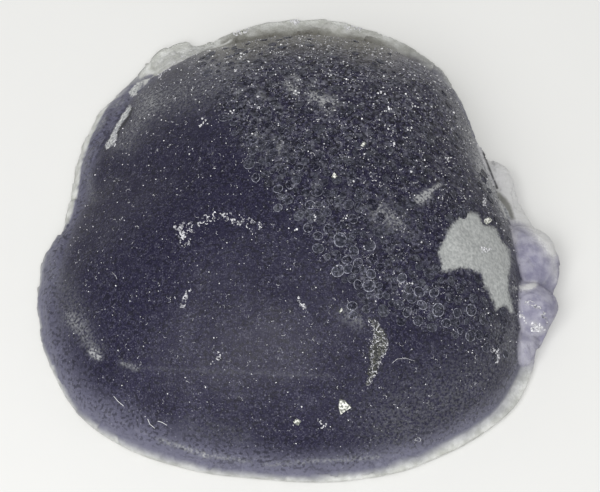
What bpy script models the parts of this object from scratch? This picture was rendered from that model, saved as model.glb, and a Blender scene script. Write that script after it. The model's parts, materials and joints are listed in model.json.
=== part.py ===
"""Fluorite specimen: one low dome of dark violet fluorite that grew as a single mass.

Its back is a flat break that it rests on. The dome ends in a broken side face all round, with a
thin flange at the back and front right, a chipped ledge at the back left and paler rounded lobes on
the right. Flat-topped blisters of later growth cover the back right half of the dome, and a few
crystals and crusts stand on it.
X is to the right, Y to the back and Z up, with the origin at the middle of the flat break.
"""

import math
import random

import bmesh
import bpy
import numpy as np
from mathutils import Matrix, Vector, noise

NODE = "fluorite_specimen"
MM = 0.001  # every size below is in millimetres

# Driving dimensions
DOME_HEIGHT = 21.0
APEX = (3.0, -1.0)
LEAST_SIDE = 0.5  # the side face is at least this wide, seen from above
DOME_TRIANGLES = 4800

# The square grid that is wrapped over the dome: cells along a side, the share of its rings that lie
# inside the shoulder, and how far the inner rings crowd towards the steep shoulder
GRID_CELLS = 160
INNER_RINGS = 0.86
CROWD_DEG = 68.0

# The broken edge seen from above, anticlockwise from the lobes on the right
EDGE_POINTS = [
    (34.0, -5.3), (33.1, -8.7), (33.8, -11.0), (32.6, -13.9), (30.9, -16.6), (30.2, -19.4),
    (28.2, -24.1), (24.2, -28.1), (19.2, -31.3), (12.3, -34.3), (3.1, -35.6), (-6.3, -35.0),
    (-13.5, -33.9), (-21.9, -30.9), (-28.4, -25.9), (-32.4, -18.5), (-33.9, -12.0), (-34.0, -6.7),
    (-33.2, -2.2), (-31.0, 1.6), (-30.0, 6.1), (-28.8, 13.0), (-26.4, 19.3), (-22.9, 23.1),
    (-20.8, 26.0), (-18.5, 28.9), (-15.2, 30.5), (-13.2, 29.9), (-9.5, 31.5), (-4.6, 33.5),
    (2.9, 34.2), (9.9, 32.2), (15.5, 29.0), (20.0, 24.1), (22.3, 18.4), (24.1, 13.0),
    (25.8, 11.5), (27.2, 9.9), (28.1, 8.0), (28.8, 5.2), (30.6, 1.6), (33.0, -1.6),
]

# The shoulder, where the dome's skin ends and the side face begins, seen from above
SHOULDER_POINTS = [
    (29.2, -5.8), (29.3, -12.5), (28.6, -19.5), (25.8, -25.0), (21.0, -29.2), (14.6, -32.2),
    (6.0, -34.0), (-4.0, -34.1), (-13.0, -32.9), (-21.3, -29.7), (-27.5, -25.0), (-30.8, -18.3),
    (-31.8, -11.0), (-30.9, -4.4), (-28.9, 2.5), (-27.2, 9.0), (-24.9, 14.0), (-22.4, 18.7),
    (-19.4, 22.4), (-14.6, 26.2), (-8.0, 29.3), (1.0, 30.7), (9.0, 29.5), (15.5, 26.5),
    (20.0, 22.2), (22.0, 17.8), (23.2, 14.0), (24.9, 9.2), (26.6, 4.3), (28.2, -0.8),
]

# Each table below goes round the apex: degrees anticlockwise from the right, and the value there.
# How steeply the dome's arc meets its shoulder, in degrees
ARC_DEG = [(5, 83), (45, 80), (75, 62), (95, 55), (140, 50), (185, 50), (225, 55), (270, 66), (315, 82)]
SHOULDER_Z = [
    (10, 3.2), (30, 2.6), (60, 2.6), (90, 2.6), (112, 3.0), (120, 4.2), (135, 4.8), (156, 5.2),
    (168, 4.2), (195, 4.6), (235, 4.5), (275, 4.4), (290, 3.0), (302, 1.5), (326, 1.5), (338, 3.4),
    (355, 3.6),
]
# Height of the upper side of the broken edge
EDGE_Z = [
    (8, 2.6), (25, 2.0), (60, 1.5), (90, 0.9), (116, 1.2), (124, 1.5), (150, 1.3), (195, 1.4),
    (240, 1.0), (280, 1.0), (303, 0.85), (328, 0.85), (338, 2.4), (357, 2.8),
]
# Shape of the side face below the shoulder: 1 bulges, 0 is straight, -1 is hollow
SIDE_BULGE = [
    (10, 0.4), (45, 0.5), (75, -0.2), (112, -0.3), (119, -1), (131, -1), (138, 0.6), (200, 0.8),
    (270, 0.9), (290, 0.2), (310, 0), (350, 0.2),
]
# How far the edge tucks in under itself on its way down to the flat break
TUCK = [(12, 1.6), (25, 0.8), (200, 0.8), (325, 0.6), (335, 1.8), (357, 2.2)]
TUCK_RINGS = 3

# Lobes on the right: centre, then half widths along X and Y and height above the centre
LOBES = [
    ((26.2, 6.4, 1.5), (2.9, 5.2, 2.5)),
    ((29.0, -3.8, 2.6), (5.0, 4.9, 3.9)),
    ((29.4, -11.3, 2.4), (4.4, 3.9, 3.6)),
    ((28.2, -16.0, 1.4), (3.0, 3.0, 2.4)),
]
LOBE_BLEND = 0.7

# Gentle swells of the dome: wave length and height, and the heights between which they set in
SWELLS = [(15.0, 0.55), (6.5, 0.22)]
SWELL_FROM, SWELL_FULL = 0.6, 5.6

# Blisters: flat-topped discs beyond this line, drawn over the dome from back left to front right
BLISTER_LINE = [
    (-14.3, 24.4), (-10.3, 10.1), (-6.4, 0.2), (-1.2, -7.1), (4.1, -13.3), (8.0, -19.4),
    (13.2, -20.4), (18.5, -20.5), (26.3, -21.3),
]
BLISTER_COUNT = 115
BLISTER_SIDES = 8
BLISTER_RADIUS = (0.65, 1.15)
BLISTER_TOP = 0.76  # share of its radius that a blister's flat top has
BLISTER_HEIGHT = 0.3
BLISTER_REACH = 0.93  # furthest out, as a share of the way to the shoulder
BLISTER_SPACING = 0.98  # least distance between two, as a share of their radii added
BLISTER_FADE = 12.0  # beyond the line, they thin out over about this distance
BLISTER_SEED = 11

# Crystals that stand on the dome: middle, radius, height, number of sides, turn in degrees
CRYSTALS = [
    ((5.8, -29.9), 1.1, 1.0, 3, 10), ((-0.3, -31.4), 0.6, 0.6, 4, 30), ((24.2, 0.1), 0.5, 0.6, 4, 0),
    ((24.6, -3.1), 0.6, 0.6, 4, 20), ((0.2, -18.5), 0.5, 0.5, 4, 50), ((5.4, -19.7), 0.5, 0.5, 3, 70),
    ((15.6, -31.5), 0.5, 0.5, 4, 10), ((25.4, -21.1), 0.5, 0.5, 4, 40),
]

# Crusts of fine crystals: the middle and radius of each lump
CRUSTS = [
    ((-15.6, -7.6), 1.0), ((-14.4, -9.4), 0.8), ((-12.9, -6.9), 0.8), ((-10.9, -7.0), 0.8),
    ((-8.8, -7.5), 0.8), ((-6.6, -7.9), 0.9), ((9.7, -21.0), 0.7), ((10.8, -22.9), 0.8),
    ((10.5, -24.9), 0.9), ((9.5, -26.7), 0.7), ((-14.7, -16.9), 0.7), ((-10.1, -24.2), 0.7),
    ((-24.6, 12.4), 0.8), ((-23.8, 14.9), 0.8), ((-22.7, 17.5), 0.7), ((-21.5, 20.1), 0.7),
]
SUNK = 0.45  # how deep a growth's foot lies in the dome


def clear_scene():
    for obj in list(bpy.data.objects):
        bpy.data.objects.remove(obj)


def closed_curve(points, steps=12):
    """A smooth closed curve through the points (Catmull-Rom), with so many steps to each stretch."""
    points = np.array(points, float)
    t = np.linspace(0, 1, steps, endpoint=False)[:, None]
    stretches = []
    for i in range(len(points)):
        before, start, end, after = (points[(i + k) % len(points)] for k in (-1, 0, 1, 2))
        stretches.append(
            start
            + t * (end - before) / 2
            + t**2 * (before - 2.5 * start + 2 * end - after / 2)
            + t**3 * (-before / 2 + 1.5 * start - 1.5 * end + after / 2)
        )
    return np.vstack(stretches)


def full_turn(angles, values):
    """Angles in rising order with one turn more on each side, and their values."""
    angles = np.asarray(angles, float) % math.tau
    order = np.argsort(angles)
    angles = angles[order]
    three_turns = np.concatenate([angles - math.tau, angles, angles + math.tau])
    return three_turns, np.tile(np.array(values)[order], 3)


def radius_table(points):
    """Direction and distance from the apex of a closed curve through the points."""
    curve = closed_curve(points) - APEX
    return full_turn(np.arctan2(curve[:, 1], curve[:, 0]), np.hypot(curve[:, 0], curve[:, 1]))


EDGE_TABLE = radius_table(EDGE_POINTS)
SHOULDER_TABLE = radius_table(SHOULDER_POINTS)


def edge_reach(angle):
    return np.interp(angle, *EDGE_TABLE)


def shoulder_reach(angle):
    return np.minimum(np.interp(angle, *SHOULDER_TABLE), edge_reach(angle) - LEAST_SIDE)


def around(table, angle):
    """A table's value in each direction, eased between its rows."""
    rows = np.array(table, float)
    angles, values = full_turn(np.radians(rows[:, 0]), rows[:, 1])
    after = np.clip(np.searchsorted(angles, angle), 1, len(angles) - 1)
    t = (angle - angles[after - 1]) / (angles[after] - angles[after - 1])
    return values[after - 1] + (values[after] - values[after - 1]) * t * t * (3 - 2 * t)


def dome_height(angle, distance):
    """Height at a direction and distance from the apex: an arc to the shoulder, then the side face."""
    shoulder, edge = shoulder_reach(angle), edge_reach(angle)
    shoulder_z, edge_z = around(SHOULDER_Z, angle), around(EDGE_Z, angle)
    arc = np.radians(around(ARC_DEG, angle))
    inner = np.clip(distance / shoulder, 0, 1)
    cap = (np.sqrt(1 - (inner * np.sin(arc)) ** 2) - np.cos(arc)) / (1 - np.cos(arc))
    outer = np.clip((distance - shoulder) / (edge - shoulder), 0, 1)
    side = (1 - outer) * (1 + around(SIDE_BULGE, angle) * outer)
    return np.where(
        distance < shoulder,
        shoulder_z + (DOME_HEIGHT - shoulder_z) * cap,
        edge_z + (shoulder_z - edge_z) * side,
    )


def smooth_highest(a, b, blend):
    """The higher of two surfaces, with their meeting line rounded."""
    share = np.clip(0.5 + (a - b) / (2 * blend), 0, 1)
    return b + (a - b) * share + blend * share * (1 - share)


def add_lobes(x, y, z):
    for (cx, cy, cz), (half_x, half_y, rise) in LOBES:
        away = ((x - cx) / half_x) ** 2 + ((y - cy) / half_y) ** 2
        lobe = np.where(away < 1, cz + rise * np.sqrt(np.clip(1 - away, 0, 1)), -DOME_HEIGHT)
        z = smooth_highest(lobe, z, LOBE_BLEND)
    return z


def swell(x, y):
    """Sum of the gentle swells at each point."""
    total = np.zeros(len(x))
    for wave, height in SWELLS:
        total += height * np.array([noise.noise(Vector((a / wave, b / wave, wave))) for a, b in zip(x, y)])
    return total


def height_at(x, y):
    """Height of the smooth skin over each plan point."""
    angle = np.arctan2(y - APEX[1], x - APEX[0]) % math.tau
    z = add_lobes(x, y, dome_height(angle, np.hypot(x - APEX[0], y - APEX[1])))
    return z + np.clip((z - SWELL_FROM) / (SWELL_FULL - SWELL_FROM), 0, 1) * swell(x, y)


def stand_on_skin(middles):
    """A matrix for each plan point that stands upright on the skin there."""
    step = 0.3
    x, y = np.array(middles, float).T
    points = np.column_stack([x, y, height_at(x, y)])
    slope_x = (height_at(x + step, y) - height_at(x - step, y)) / (2 * step)
    slope_y = (height_at(x, y + step) - height_at(x, y - step)) / (2 * step)
    stands = []
    for point, along_x, along_y in zip(points, slope_x, slope_y):
        upright = Vector((-along_x, -along_y, 1)).to_track_quat("Z", "Y")
        stands.append(Matrix.Translation(point) @ upright.to_matrix().to_4x4())
    return stands


def square_to_disc():
    """Angle and distance from the apex of each corner of a square grid that is wrapped over the dome."""
    side = np.linspace(-1, 1, GRID_CELLS + 1)
    u, v = (a.ravel() for a in np.meshgrid(side, side))
    ring = np.maximum(abs(u), abs(v))
    by_u = abs(u) > abs(v)
    quarter = math.pi / 4 * np.where(by_u, v, u) / np.where(ring > 0, np.where(by_u, u, v), 1)
    angle = np.where(by_u, quarter, math.pi / 2 - quarter)
    angle = (angle + np.where(np.where(by_u, u, v) < 0, math.pi, 0)) % math.tau
    crowd = math.radians(CROWD_DEG)
    inner = np.sin(np.clip(ring / INNER_RINGS, 0, 1) * crowd) / math.sin(crowd)
    outer = np.clip((ring - INNER_RINGS) / (1 - INNER_RINGS), 0, 1)
    shoulder, edge = shoulder_reach(angle), edge_reach(angle)
    return angle, shoulder * inner + (edge - shoulder) * outer


def upper_surface():
    """Corners of the grid on the dome."""
    angle, distance = square_to_disc()
    x, y = APEX[0] + distance * np.cos(angle), APEX[1] + distance * np.sin(angle)
    return np.column_stack([x, y, height_at(x, y)])


def edge_corners():
    """Indices of the grid's outer corners, anticlockwise."""
    n = GRID_CELLS + 1
    front = list(range(n))
    right = [n * i + n - 1 for i in range(1, n)]
    back = [n * n - 1 - i for i in range(1, n)]
    left = [n * (n - 1 - i) for i in range(1, n - 1)]
    return front + right + back + left


def dome_mesh():
    """The upper surface, its tucked edge and the flat break, as one closed mesh."""
    points = [upper_surface()]
    n = GRID_CELLS + 1
    faces = [
        (n * row + col, n * row + col + 1, n * (row + 1) + col + 1, n * (row + 1) + col)
        for row in range(GRID_CELLS)
        for col in range(GRID_CELLS)
    ]
    outer = edge_corners()
    edge = points[0][outer]
    angle = np.arctan2(edge[:, 1] - APEX[1], edge[:, 0] - APEX[0]) % math.tau
    inward = -np.column_stack([np.cos(angle), np.sin(angle)])
    count = len(points[0])
    for ring in range(1, TUCK_RINGS + 1):
        turn = ring / TUCK_RINGS * math.pi / 2
        plan = edge[:, :2] + inward * (around(TUCK, angle) * (1 - math.cos(turn)))[:, None]
        points.append(np.column_stack([plan, edge[:, 2] * (1 - math.sin(turn))]))
        lower = list(range(count, count + len(outer)))
        for i in range(len(outer)):
            j = (i + 1) % len(outer)
            faces.append((outer[i], lower[i], lower[j], outer[j]))
        outer = lower
        count += len(outer)
    faces.append(tuple(reversed(outer)))
    return np.vstack(points), faces


def beyond_line(x, y):
    """How far a point lies beyond the blisters' border, measured across it."""
    line = np.array(BLISTER_LINE)
    border = np.interp(x - y, line[:, 0] - line[:, 1], line[:, 0] + line[:, 1])
    return (x + y - border) / math.sqrt(2)


def place_blisters():
    """Middles and radii of the blisters: thickest along their border, with gaps between them."""
    rng = random.Random(BLISTER_SEED)
    placed = []
    while len(placed) < BLISTER_COUNT:
        angle = rng.uniform(0, math.tau)
        distance = float(shoulder_reach(angle)) * BLISTER_REACH * math.sqrt(rng.random())
        x, y = APEX[0] + distance * math.cos(angle), APEX[1] + distance * math.sin(angle)
        radius = rng.uniform(*BLISTER_RADIUS)
        across = float(beyond_line(x, y))
        if across < 0 or rng.random() > math.exp(-across / BLISTER_FADE):
            continue
        if all(math.hypot(x - a, y - b) > BLISTER_SPACING * (radius + r) for (a, b), r in placed):
            placed.append(((x, y), radius))
    return placed


def add_frustum(shapes, stand, sides, radius, top_radius, height):
    """A cut-off pyramid that rises so far above the skin and has its foot sunk in it."""
    bmesh.ops.create_cone(
        shapes,
        cap_ends=True,
        segments=sides,
        radius1=radius,
        radius2=top_radius,
        depth=height + SUNK,
        matrix=stand @ Matrix.Translation((0, 0, (height - SUNK) / 2)),
    )


def growths_mesh():
    """Blisters, crystals and crust lumps, each closed and sunk a little into the dome."""
    shapes = bmesh.new()
    blisters = place_blisters()
    for (_, radius), stand in zip(blisters, stand_on_skin([blister[0] for blister in blisters])):
        add_frustum(shapes, stand, BLISTER_SIDES, radius, radius * BLISTER_TOP, BLISTER_HEIGHT)
    stands = stand_on_skin([crystal[0] for crystal in CRYSTALS])
    for (_, radius, height, sides, turn), stand in zip(CRYSTALS, stands):
        turned = stand @ Matrix.Rotation(math.radians(turn), 4, "Z")
        add_frustum(shapes, turned, sides, radius, 0, height)
    for (_, radius), stand in zip(CRUSTS, stand_on_skin([crust[0] for crust in CRUSTS])):
        middle = stand @ Matrix.Translation((0, 0, -radius / 2))
        bmesh.ops.create_icosphere(shapes, subdivisions=1, radius=radius, matrix=middle)
    bmesh.ops.recalc_face_normals(shapes, faces=shapes.faces)
    mesh = bpy.data.meshes.new("growths")
    shapes.to_mesh(mesh)
    shapes.free()
    return mesh


def dark_fluorite():
    material = bpy.data.materials.new("dark_fluorite")
    material.use_nodes = True
    shader = material.node_tree.nodes["Principled BSDF"]
    shader.inputs["Base Color"].default_value = (0.055, 0.05, 0.085, 1)
    shader.inputs["Roughness"].default_value = 0.45
    shader.inputs["Metallic"].default_value = 0.0
    shader.inputs["IOR"].default_value = 1.434
    return material


def add_object(name, mesh):
    obj = bpy.data.objects.new(name, mesh)
    bpy.context.scene.collection.objects.link(obj)
    return obj


def make_specimen():
    points, faces = dome_mesh()
    middle_x, middle_y, _ = (points.min(axis=0) + points.max(axis=0)) / 2
    to_origin = Matrix.Scale(MM, 4) @ Matrix.Translation((-middle_x, -middle_y, 0))
    mesh = bpy.data.meshes.new(NODE)
    mesh.from_pydata(points.tolist(), [], faces)
    mesh.materials.append(dark_fluorite())
    mesh.transform(to_origin)
    mesh.calc_loop_triangles()
    specimen = add_object(NODE, mesh)
    thin_out = specimen.modifiers.new("fewer_faces", "DECIMATE")
    thin_out.ratio = DOME_TRIANGLES / len(mesh.loop_triangles)

    growths = add_object("growths", growths_mesh())
    growths.data.transform(to_origin)
    growths.hide_render = True
    growths.display_type = "WIRE"
    join = specimen.modifiers.new("grown_on", "BOOLEAN")
    join.operation = "UNION"
    join.object = growths
    join.use_self = True


clear_scene()
make_specimen()
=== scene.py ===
# %% [markdown]
# # A fluorite specimen
# The real thing is one low dome of dark violet fluorite, about 68 mm across, that rests on the flat
# break where it came off its rock. Its middle is so deep that it looks almost black, and its thin
# edge lets the light through and looks pale. Flat-topped blisters, white crusts and a fine frost
# cover the skin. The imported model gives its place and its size, and everything below is fitted to it.

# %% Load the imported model
import json
import math
import random

import bpy
import numpy as np
from mathutils import Matrix, Vector, noise
from mathutils.bvhtree import BVHTree

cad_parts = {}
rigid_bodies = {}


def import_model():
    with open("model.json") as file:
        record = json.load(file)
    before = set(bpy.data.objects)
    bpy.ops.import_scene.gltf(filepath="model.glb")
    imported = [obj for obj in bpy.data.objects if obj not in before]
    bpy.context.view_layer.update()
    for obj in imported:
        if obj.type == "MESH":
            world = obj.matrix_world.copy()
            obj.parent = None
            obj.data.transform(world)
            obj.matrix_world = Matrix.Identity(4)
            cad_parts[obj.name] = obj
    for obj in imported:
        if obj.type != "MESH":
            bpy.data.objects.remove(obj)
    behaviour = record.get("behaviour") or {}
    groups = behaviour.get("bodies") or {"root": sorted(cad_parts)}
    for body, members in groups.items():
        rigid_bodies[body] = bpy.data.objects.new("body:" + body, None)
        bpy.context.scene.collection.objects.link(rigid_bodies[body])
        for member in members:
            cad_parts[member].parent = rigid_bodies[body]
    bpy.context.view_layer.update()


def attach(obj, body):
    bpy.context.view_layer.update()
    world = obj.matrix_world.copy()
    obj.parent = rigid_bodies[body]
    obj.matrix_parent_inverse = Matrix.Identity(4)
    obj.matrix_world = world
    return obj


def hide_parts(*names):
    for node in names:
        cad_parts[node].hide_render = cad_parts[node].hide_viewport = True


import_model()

NODE = "fluorite_specimen"
BODY = "root"
MM = 0.001

# %% [markdown]
# ## The outline
# The broken edge is a closed curve through points read from the photograph at real size. A second
# curve is the shoulder, where the smooth skin ends and the broken side face begins. Each curve is
# turned into a table of direction and distance from the top of the dome, because a table can be
# read for many thousand points at once. The model's source holds the same values.

# %% Points of the edge and the shoulder, in millimetres
APEX = (3.0, -1.0)  # the top of the dome in plan
LEAST_SIDE = 0.5  # least width of the side face
EDGE_POINTS = [
    (34.0, -5.3), (33.1, -8.7), (33.8, -11.0), (32.6, -13.9), (30.9, -16.6), (30.2, -19.4),
    (28.2, -24.1), (24.2, -28.1), (19.2, -31.3), (12.3, -34.3), (3.1, -35.6), (-6.3, -35.0),
    (-13.5, -33.9), (-21.9, -30.9), (-28.4, -25.9), (-32.4, -18.5), (-33.9, -12.0), (-34.0, -6.7),
    (-33.2, -2.2), (-31.0, 1.6), (-30.0, 6.1), (-28.8, 13.0), (-26.4, 19.3), (-22.9, 23.1),
    (-20.8, 26.0), (-18.5, 28.9), (-15.2, 30.5), (-13.2, 29.9), (-9.5, 31.5), (-4.6, 33.5),
    (2.9, 34.2), (9.9, 32.2), (15.5, 29.0), (20.0, 24.1), (22.3, 18.4), (24.1, 13.0),
    (25.8, 11.5), (27.2, 9.9), (28.1, 8.0), (28.8, 5.2), (30.6, 1.6), (33.0, -1.6),
]
SHOULDER_POINTS = [
    (29.2, -5.8), (29.3, -12.5), (28.6, -19.5), (25.8, -25.0), (21.0, -29.2), (14.6, -32.2),
    (6.0, -34.0), (-4.0, -34.1), (-13.0, -32.9), (-21.3, -29.7), (-27.5, -25.0), (-30.8, -18.3),
    (-31.8, -11.0), (-30.9, -4.4), (-28.9, 2.5), (-27.2, 9.0), (-24.9, 14.0), (-22.4, 18.7),
    (-19.4, 22.4), (-14.6, 26.2), (-8.0, 29.3), (1.0, 30.7), (9.0, 29.5), (15.5, 26.5),
    (20.0, 22.2), (22.0, 17.8), (23.2, 14.0), (24.9, 9.2), (26.6, 4.3), (28.2, -0.8),
]


def closed_curve(points, steps=12):
    """A smooth closed curve through the points (Catmull-Rom), with so many steps to each stretch."""
    points = np.array(points, float)
    t = np.linspace(0, 1, steps, endpoint=False)[:, None]
    stretches = []
    for i in range(len(points)):
        before, start, end, after = (points[(i + k) % len(points)] for k in (-1, 0, 1, 2))
        stretches.append(
            start
            + t * (end - before) / 2
            + t**2 * (before - 2.5 * start + 2 * end - after / 2)
            + t**3 * (-before / 2 + 1.5 * start - 1.5 * end + after / 2)
        )
    return np.vstack(stretches)


def full_turn(angles, values):
    """Angles in rising order with one turn more on each side, and their values."""
    angles = np.asarray(angles, float) % math.tau
    order = np.argsort(angles)
    angles = angles[order]
    three_turns = np.concatenate([angles - math.tau, angles, angles + math.tau])
    return three_turns, np.tile(np.array(values)[order], 3)


def radius_table(points):
    """Direction and distance from the apex of a closed curve through the points."""
    curve = closed_curve(points) - APEX
    return full_turn(np.arctan2(curve[:, 1], curve[:, 0]), np.hypot(curve[:, 0], curve[:, 1]))


EDGE_TABLE = radius_table(EDGE_POINTS)
SHOULDER_TABLE = radius_table(SHOULDER_POINTS)


def edge_reach(angle):
    return np.interp(angle, *EDGE_TABLE)


def shoulder_reach(angle):
    return np.minimum(np.interp(angle, *SHOULDER_TABLE), edge_reach(angle) - LEAST_SIDE)


edge_curve = closed_curve(EDGE_POINTS)
PLAN_MIDDLE = (edge_curve.min(axis=0) + edge_curve.max(axis=0)) / 2
print("plan middle in mm:", PLAN_MIDDLE.round(2), "edge width:", np.ptp(edge_curve[:, 0]).round(1))

# %% [markdown]
# ## The height of the skin
# From above, the dome is an arc that meets its shoulder at a slope, and a side face below it that
# bulges, runs straight or is hollow. Both change on the way round, so each is a short table of
# direction and value, eased between its rows. The lobes are half eggs that melt into the dome, and
# slow noise gives the skin its gentle swells.

# %% Tables of the dome, the side face and the lobes: rows of a direction in degrees and a value
DOME_HEIGHT = 21.0
ARC_DEG = [(5, 83), (45, 80), (75, 62), (95, 55), (140, 50), (185, 50), (225, 55), (270, 66), (315, 82)]
SHOULDER_Z = [
    (10, 3.2), (30, 2.6), (60, 2.6), (90, 2.6), (112, 3.0), (120, 4.2), (135, 4.8), (156, 5.2),
    (168, 4.2), (195, 4.6), (235, 4.5), (275, 4.4), (290, 3.0), (302, 1.5), (326, 1.5), (338, 3.4),
    (355, 3.6),
]
EDGE_Z = [
    (8, 2.6), (25, 2.0), (60, 1.5), (90, 0.9), (116, 1.2), (124, 1.5), (150, 1.3), (195, 1.4),
    (240, 1.0), (280, 1.0), (303, 0.85), (328, 0.85), (338, 2.4), (357, 2.8),
]
SIDE_BULGE = [
    (10, 0.4), (45, 0.5), (75, -0.2), (112, -0.3), (119, -1), (131, -1), (138, 0.6), (200, 0.8),
    (270, 0.9), (290, 0.2), (310, 0), (350, 0.2),
]
TUCK = [  # how far the mesh draws in under the edge
    (12, 1.6), (25, 0.8), (200, 0.8), (325, 0.6), (335, 1.8), (357, 2.2),
]
LOBES = [  # middle, and half width, half depth and rise
    ((26.2, 6.4, 1.5), (2.9, 5.2, 2.5)),
    ((29.0, -3.8, 2.6), (5.0, 4.9, 3.9)),
    ((29.4, -11.3, 2.4), (4.4, 3.9, 3.6)),
    ((28.2, -16.0, 1.4), (3.0, 3.0, 2.4)),
]
LOBE_BLEND = 0.7
SWELLS = [(15.0, 0.55), (6.5, 0.22)]  # size and height
SWELL_FROM, SWELL_FULL = 0.6, 5.6  # heights between which the swells set in


def around(table, angle):
    """A table's value in each direction, eased between its rows."""
    rows = np.array(table, float)
    angles, values = full_turn(np.radians(rows[:, 0]), rows[:, 1])
    after = np.clip(np.searchsorted(angles, angle), 1, len(angles) - 1)
    t = (angle - angles[after - 1]) / (angles[after] - angles[after - 1])
    return values[after - 1] + (values[after] - values[after - 1]) * t * t * (3 - 2 * t)


def dome_height(angle, distance):
    """Height at a direction and distance from the apex: an arc to the shoulder, then the side face."""
    shoulder, edge = shoulder_reach(angle), edge_reach(angle)
    shoulder_z, edge_z = around(SHOULDER_Z, angle), around(EDGE_Z, angle)
    arc = np.radians(around(ARC_DEG, angle))
    inner = np.clip(distance / shoulder, 0, 1)
    cap = (np.sqrt(1 - (inner * np.sin(arc)) ** 2) - np.cos(arc)) / (1 - np.cos(arc))
    outer = np.clip((distance - shoulder) / (edge - shoulder), 0, 1)
    side = (1 - outer) * (1 + around(SIDE_BULGE, angle) * outer)
    return np.where(
        distance < shoulder,
        shoulder_z + (DOME_HEIGHT - shoulder_z) * cap,
        edge_z + (shoulder_z - edge_z) * side,
    )


def smooth_highest(a, b, blend):
    """The higher of two surfaces, with their meeting line rounded."""
    share = np.clip(0.5 + (a - b) / (2 * blend), 0, 1)
    return b + (a - b) * share + blend * share * (1 - share)


def lobe_height(x, y):
    """Height of the highest lobe over each plan point, and far below the break where there is none."""
    highest = np.full(len(x), -DOME_HEIGHT)
    for (cx, cy, cz), (half_x, half_y, rise) in LOBES:
        away = ((x - cx) / half_x) ** 2 + ((y - cy) / half_y) ** 2
        lobe = np.where(away < 1, cz + rise * np.sqrt(np.clip(1 - away, 0, 1)), -DOME_HEIGHT)
        highest = np.maximum(highest, lobe)
    return highest


def noise_at(points, wave, offset=0.0):
    """Smooth noise between about -1 and 1 at each 3-D point."""
    return np.array([noise.noise(Vector(p) / wave + Vector((offset, offset, offset))) for p in points])


def swell(x, y):
    """Sum of the gentle swells at each plan point."""
    total = np.zeros(len(x))
    for wave, height in SWELLS:
        level = np.full(len(x), wave * wave)
        total += height * noise_at(np.column_stack([x, y, level]), wave)
    return total


def height_at(x, y):
    """Height of the smooth skin over each plan point."""
    angle = np.arctan2(y - APEX[1], x - APEX[0]) % math.tau
    z = dome_height(angle, np.hypot(x - APEX[0], y - APEX[1]))
    z = smooth_highest(lobe_height(x, y), z, LOBE_BLEND)
    return z + np.clip((z - SWELL_FROM) / (SWELL_FULL - SWELL_FROM), 0, 1) * swell(x, y)


top = height_at(np.array([APEX[0]]), np.array([APEX[1]]))[0]
print("height over the apex in mm:", round(float(top), 2))

# %% [markdown]
# ## The camera
# The photograph looks down on the dome from about 60 degrees above the table. It shows hardly any
# perspective, so the camera stands far off with a very long lens. It is made before the pieces,
# because the small growths are found by shooting a ray through their place in the picture. Each one
# then lands on the skin itself, so it sits right from any side.

# %% The camera, and the way from the picture to the skin
PICTURE = (600, 492)
PIXEL = 0.131 * MM  # one pixel of the picture, measured on the table under the dome
PLAN_ORIGIN_PIXEL = (299, 246)
ELEVATION_DEG = 60
CAMERA_DISTANCE = 1.2
SENSOR = 36.0


def to_frame(points):
    """Points in plan millimetres become points in the model's frame, in metres."""
    return (np.atleast_2d(points) - (*PLAN_MIDDLE, 0)) * MM


elevation = math.radians(ELEVATION_DEG)
camera_back = np.array([0, -math.cos(elevation), math.sin(elevation)])
camera_up = np.array([0, math.sin(elevation), math.cos(elevation)])
camera_right = np.array([1.0, 0, 0])
aim = (
    to_frame([0, 0, 0])[0]
    + camera_right * (PICTURE[0] / 2 - PLAN_ORIGIN_PIXEL[0]) * PIXEL
    - camera_up * (PICTURE[1] / 2 - PLAN_ORIGIN_PIXEL[1]) * PIXEL
)
eye = aim + camera_back * CAMERA_DISTANCE

camera_data = bpy.data.cameras.new("camera")
camera_data.sensor_width = SENSOR
camera_data.lens = SENSOR * CAMERA_DISTANCE / (PICTURE[0] * PIXEL)
camera_data.clip_end = 10
camera = bpy.data.objects.new("camera", camera_data)
camera.location = eye
camera.rotation_mode = "QUATERNION"
camera.rotation_quaternion = Vector(-camera_back).to_track_quat("-Z", "Y")
bpy.context.scene.collection.objects.link(camera)
bpy.context.scene.camera = camera


def to_picture(points):
    """Where points of the frame lie in the picture, in pixels."""
    from_eye = points - eye
    depth = -from_eye @ camera_back
    scale = CAMERA_DISTANCE / (PIXEL * depth)
    across = PICTURE[0] / 2 + from_eye @ camera_right * scale
    down = PICTURE[1] / 2 - from_eye @ camera_up * scale
    return np.column_stack([across, down])


def ray_through(pixel):
    """Direction from the eye through a place in the picture."""
    across = (pixel[0] - PICTURE[0] / 2) * PIXEL
    down = (pixel[1] - PICTURE[1] / 2) * PIXEL
    return Vector(aim + camera_right * across - camera_up * down - eye).normalized()


print("lens in mm:", round(camera_data.lens), "aim:", aim.round(4))

# %% [markdown]
# ## The grid of the skin
# A round dome could be a grid of rings, but rings crowd at the top and spread at the edge. Here a
# square grid is wrapped onto the outline instead, so that its cells stay about even. Its inner rings
# end on the shoulder and its outer ones cover the side face, which keeps the shoulder's line crisp.
# Below the edge the mesh tucks in, and rings of cells close it across the break.

# %% Wrap a square grid over the dome
GRID_CELLS = 280
INNER_RINGS = 0.88
CROWD_DEG = 55.0
TUCK_RINGS = 3
BREAK_RINGS = (0.97, 0.93, 0.87, 0.78, 0.66, 0.5, 0.32, 0.14)


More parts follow.
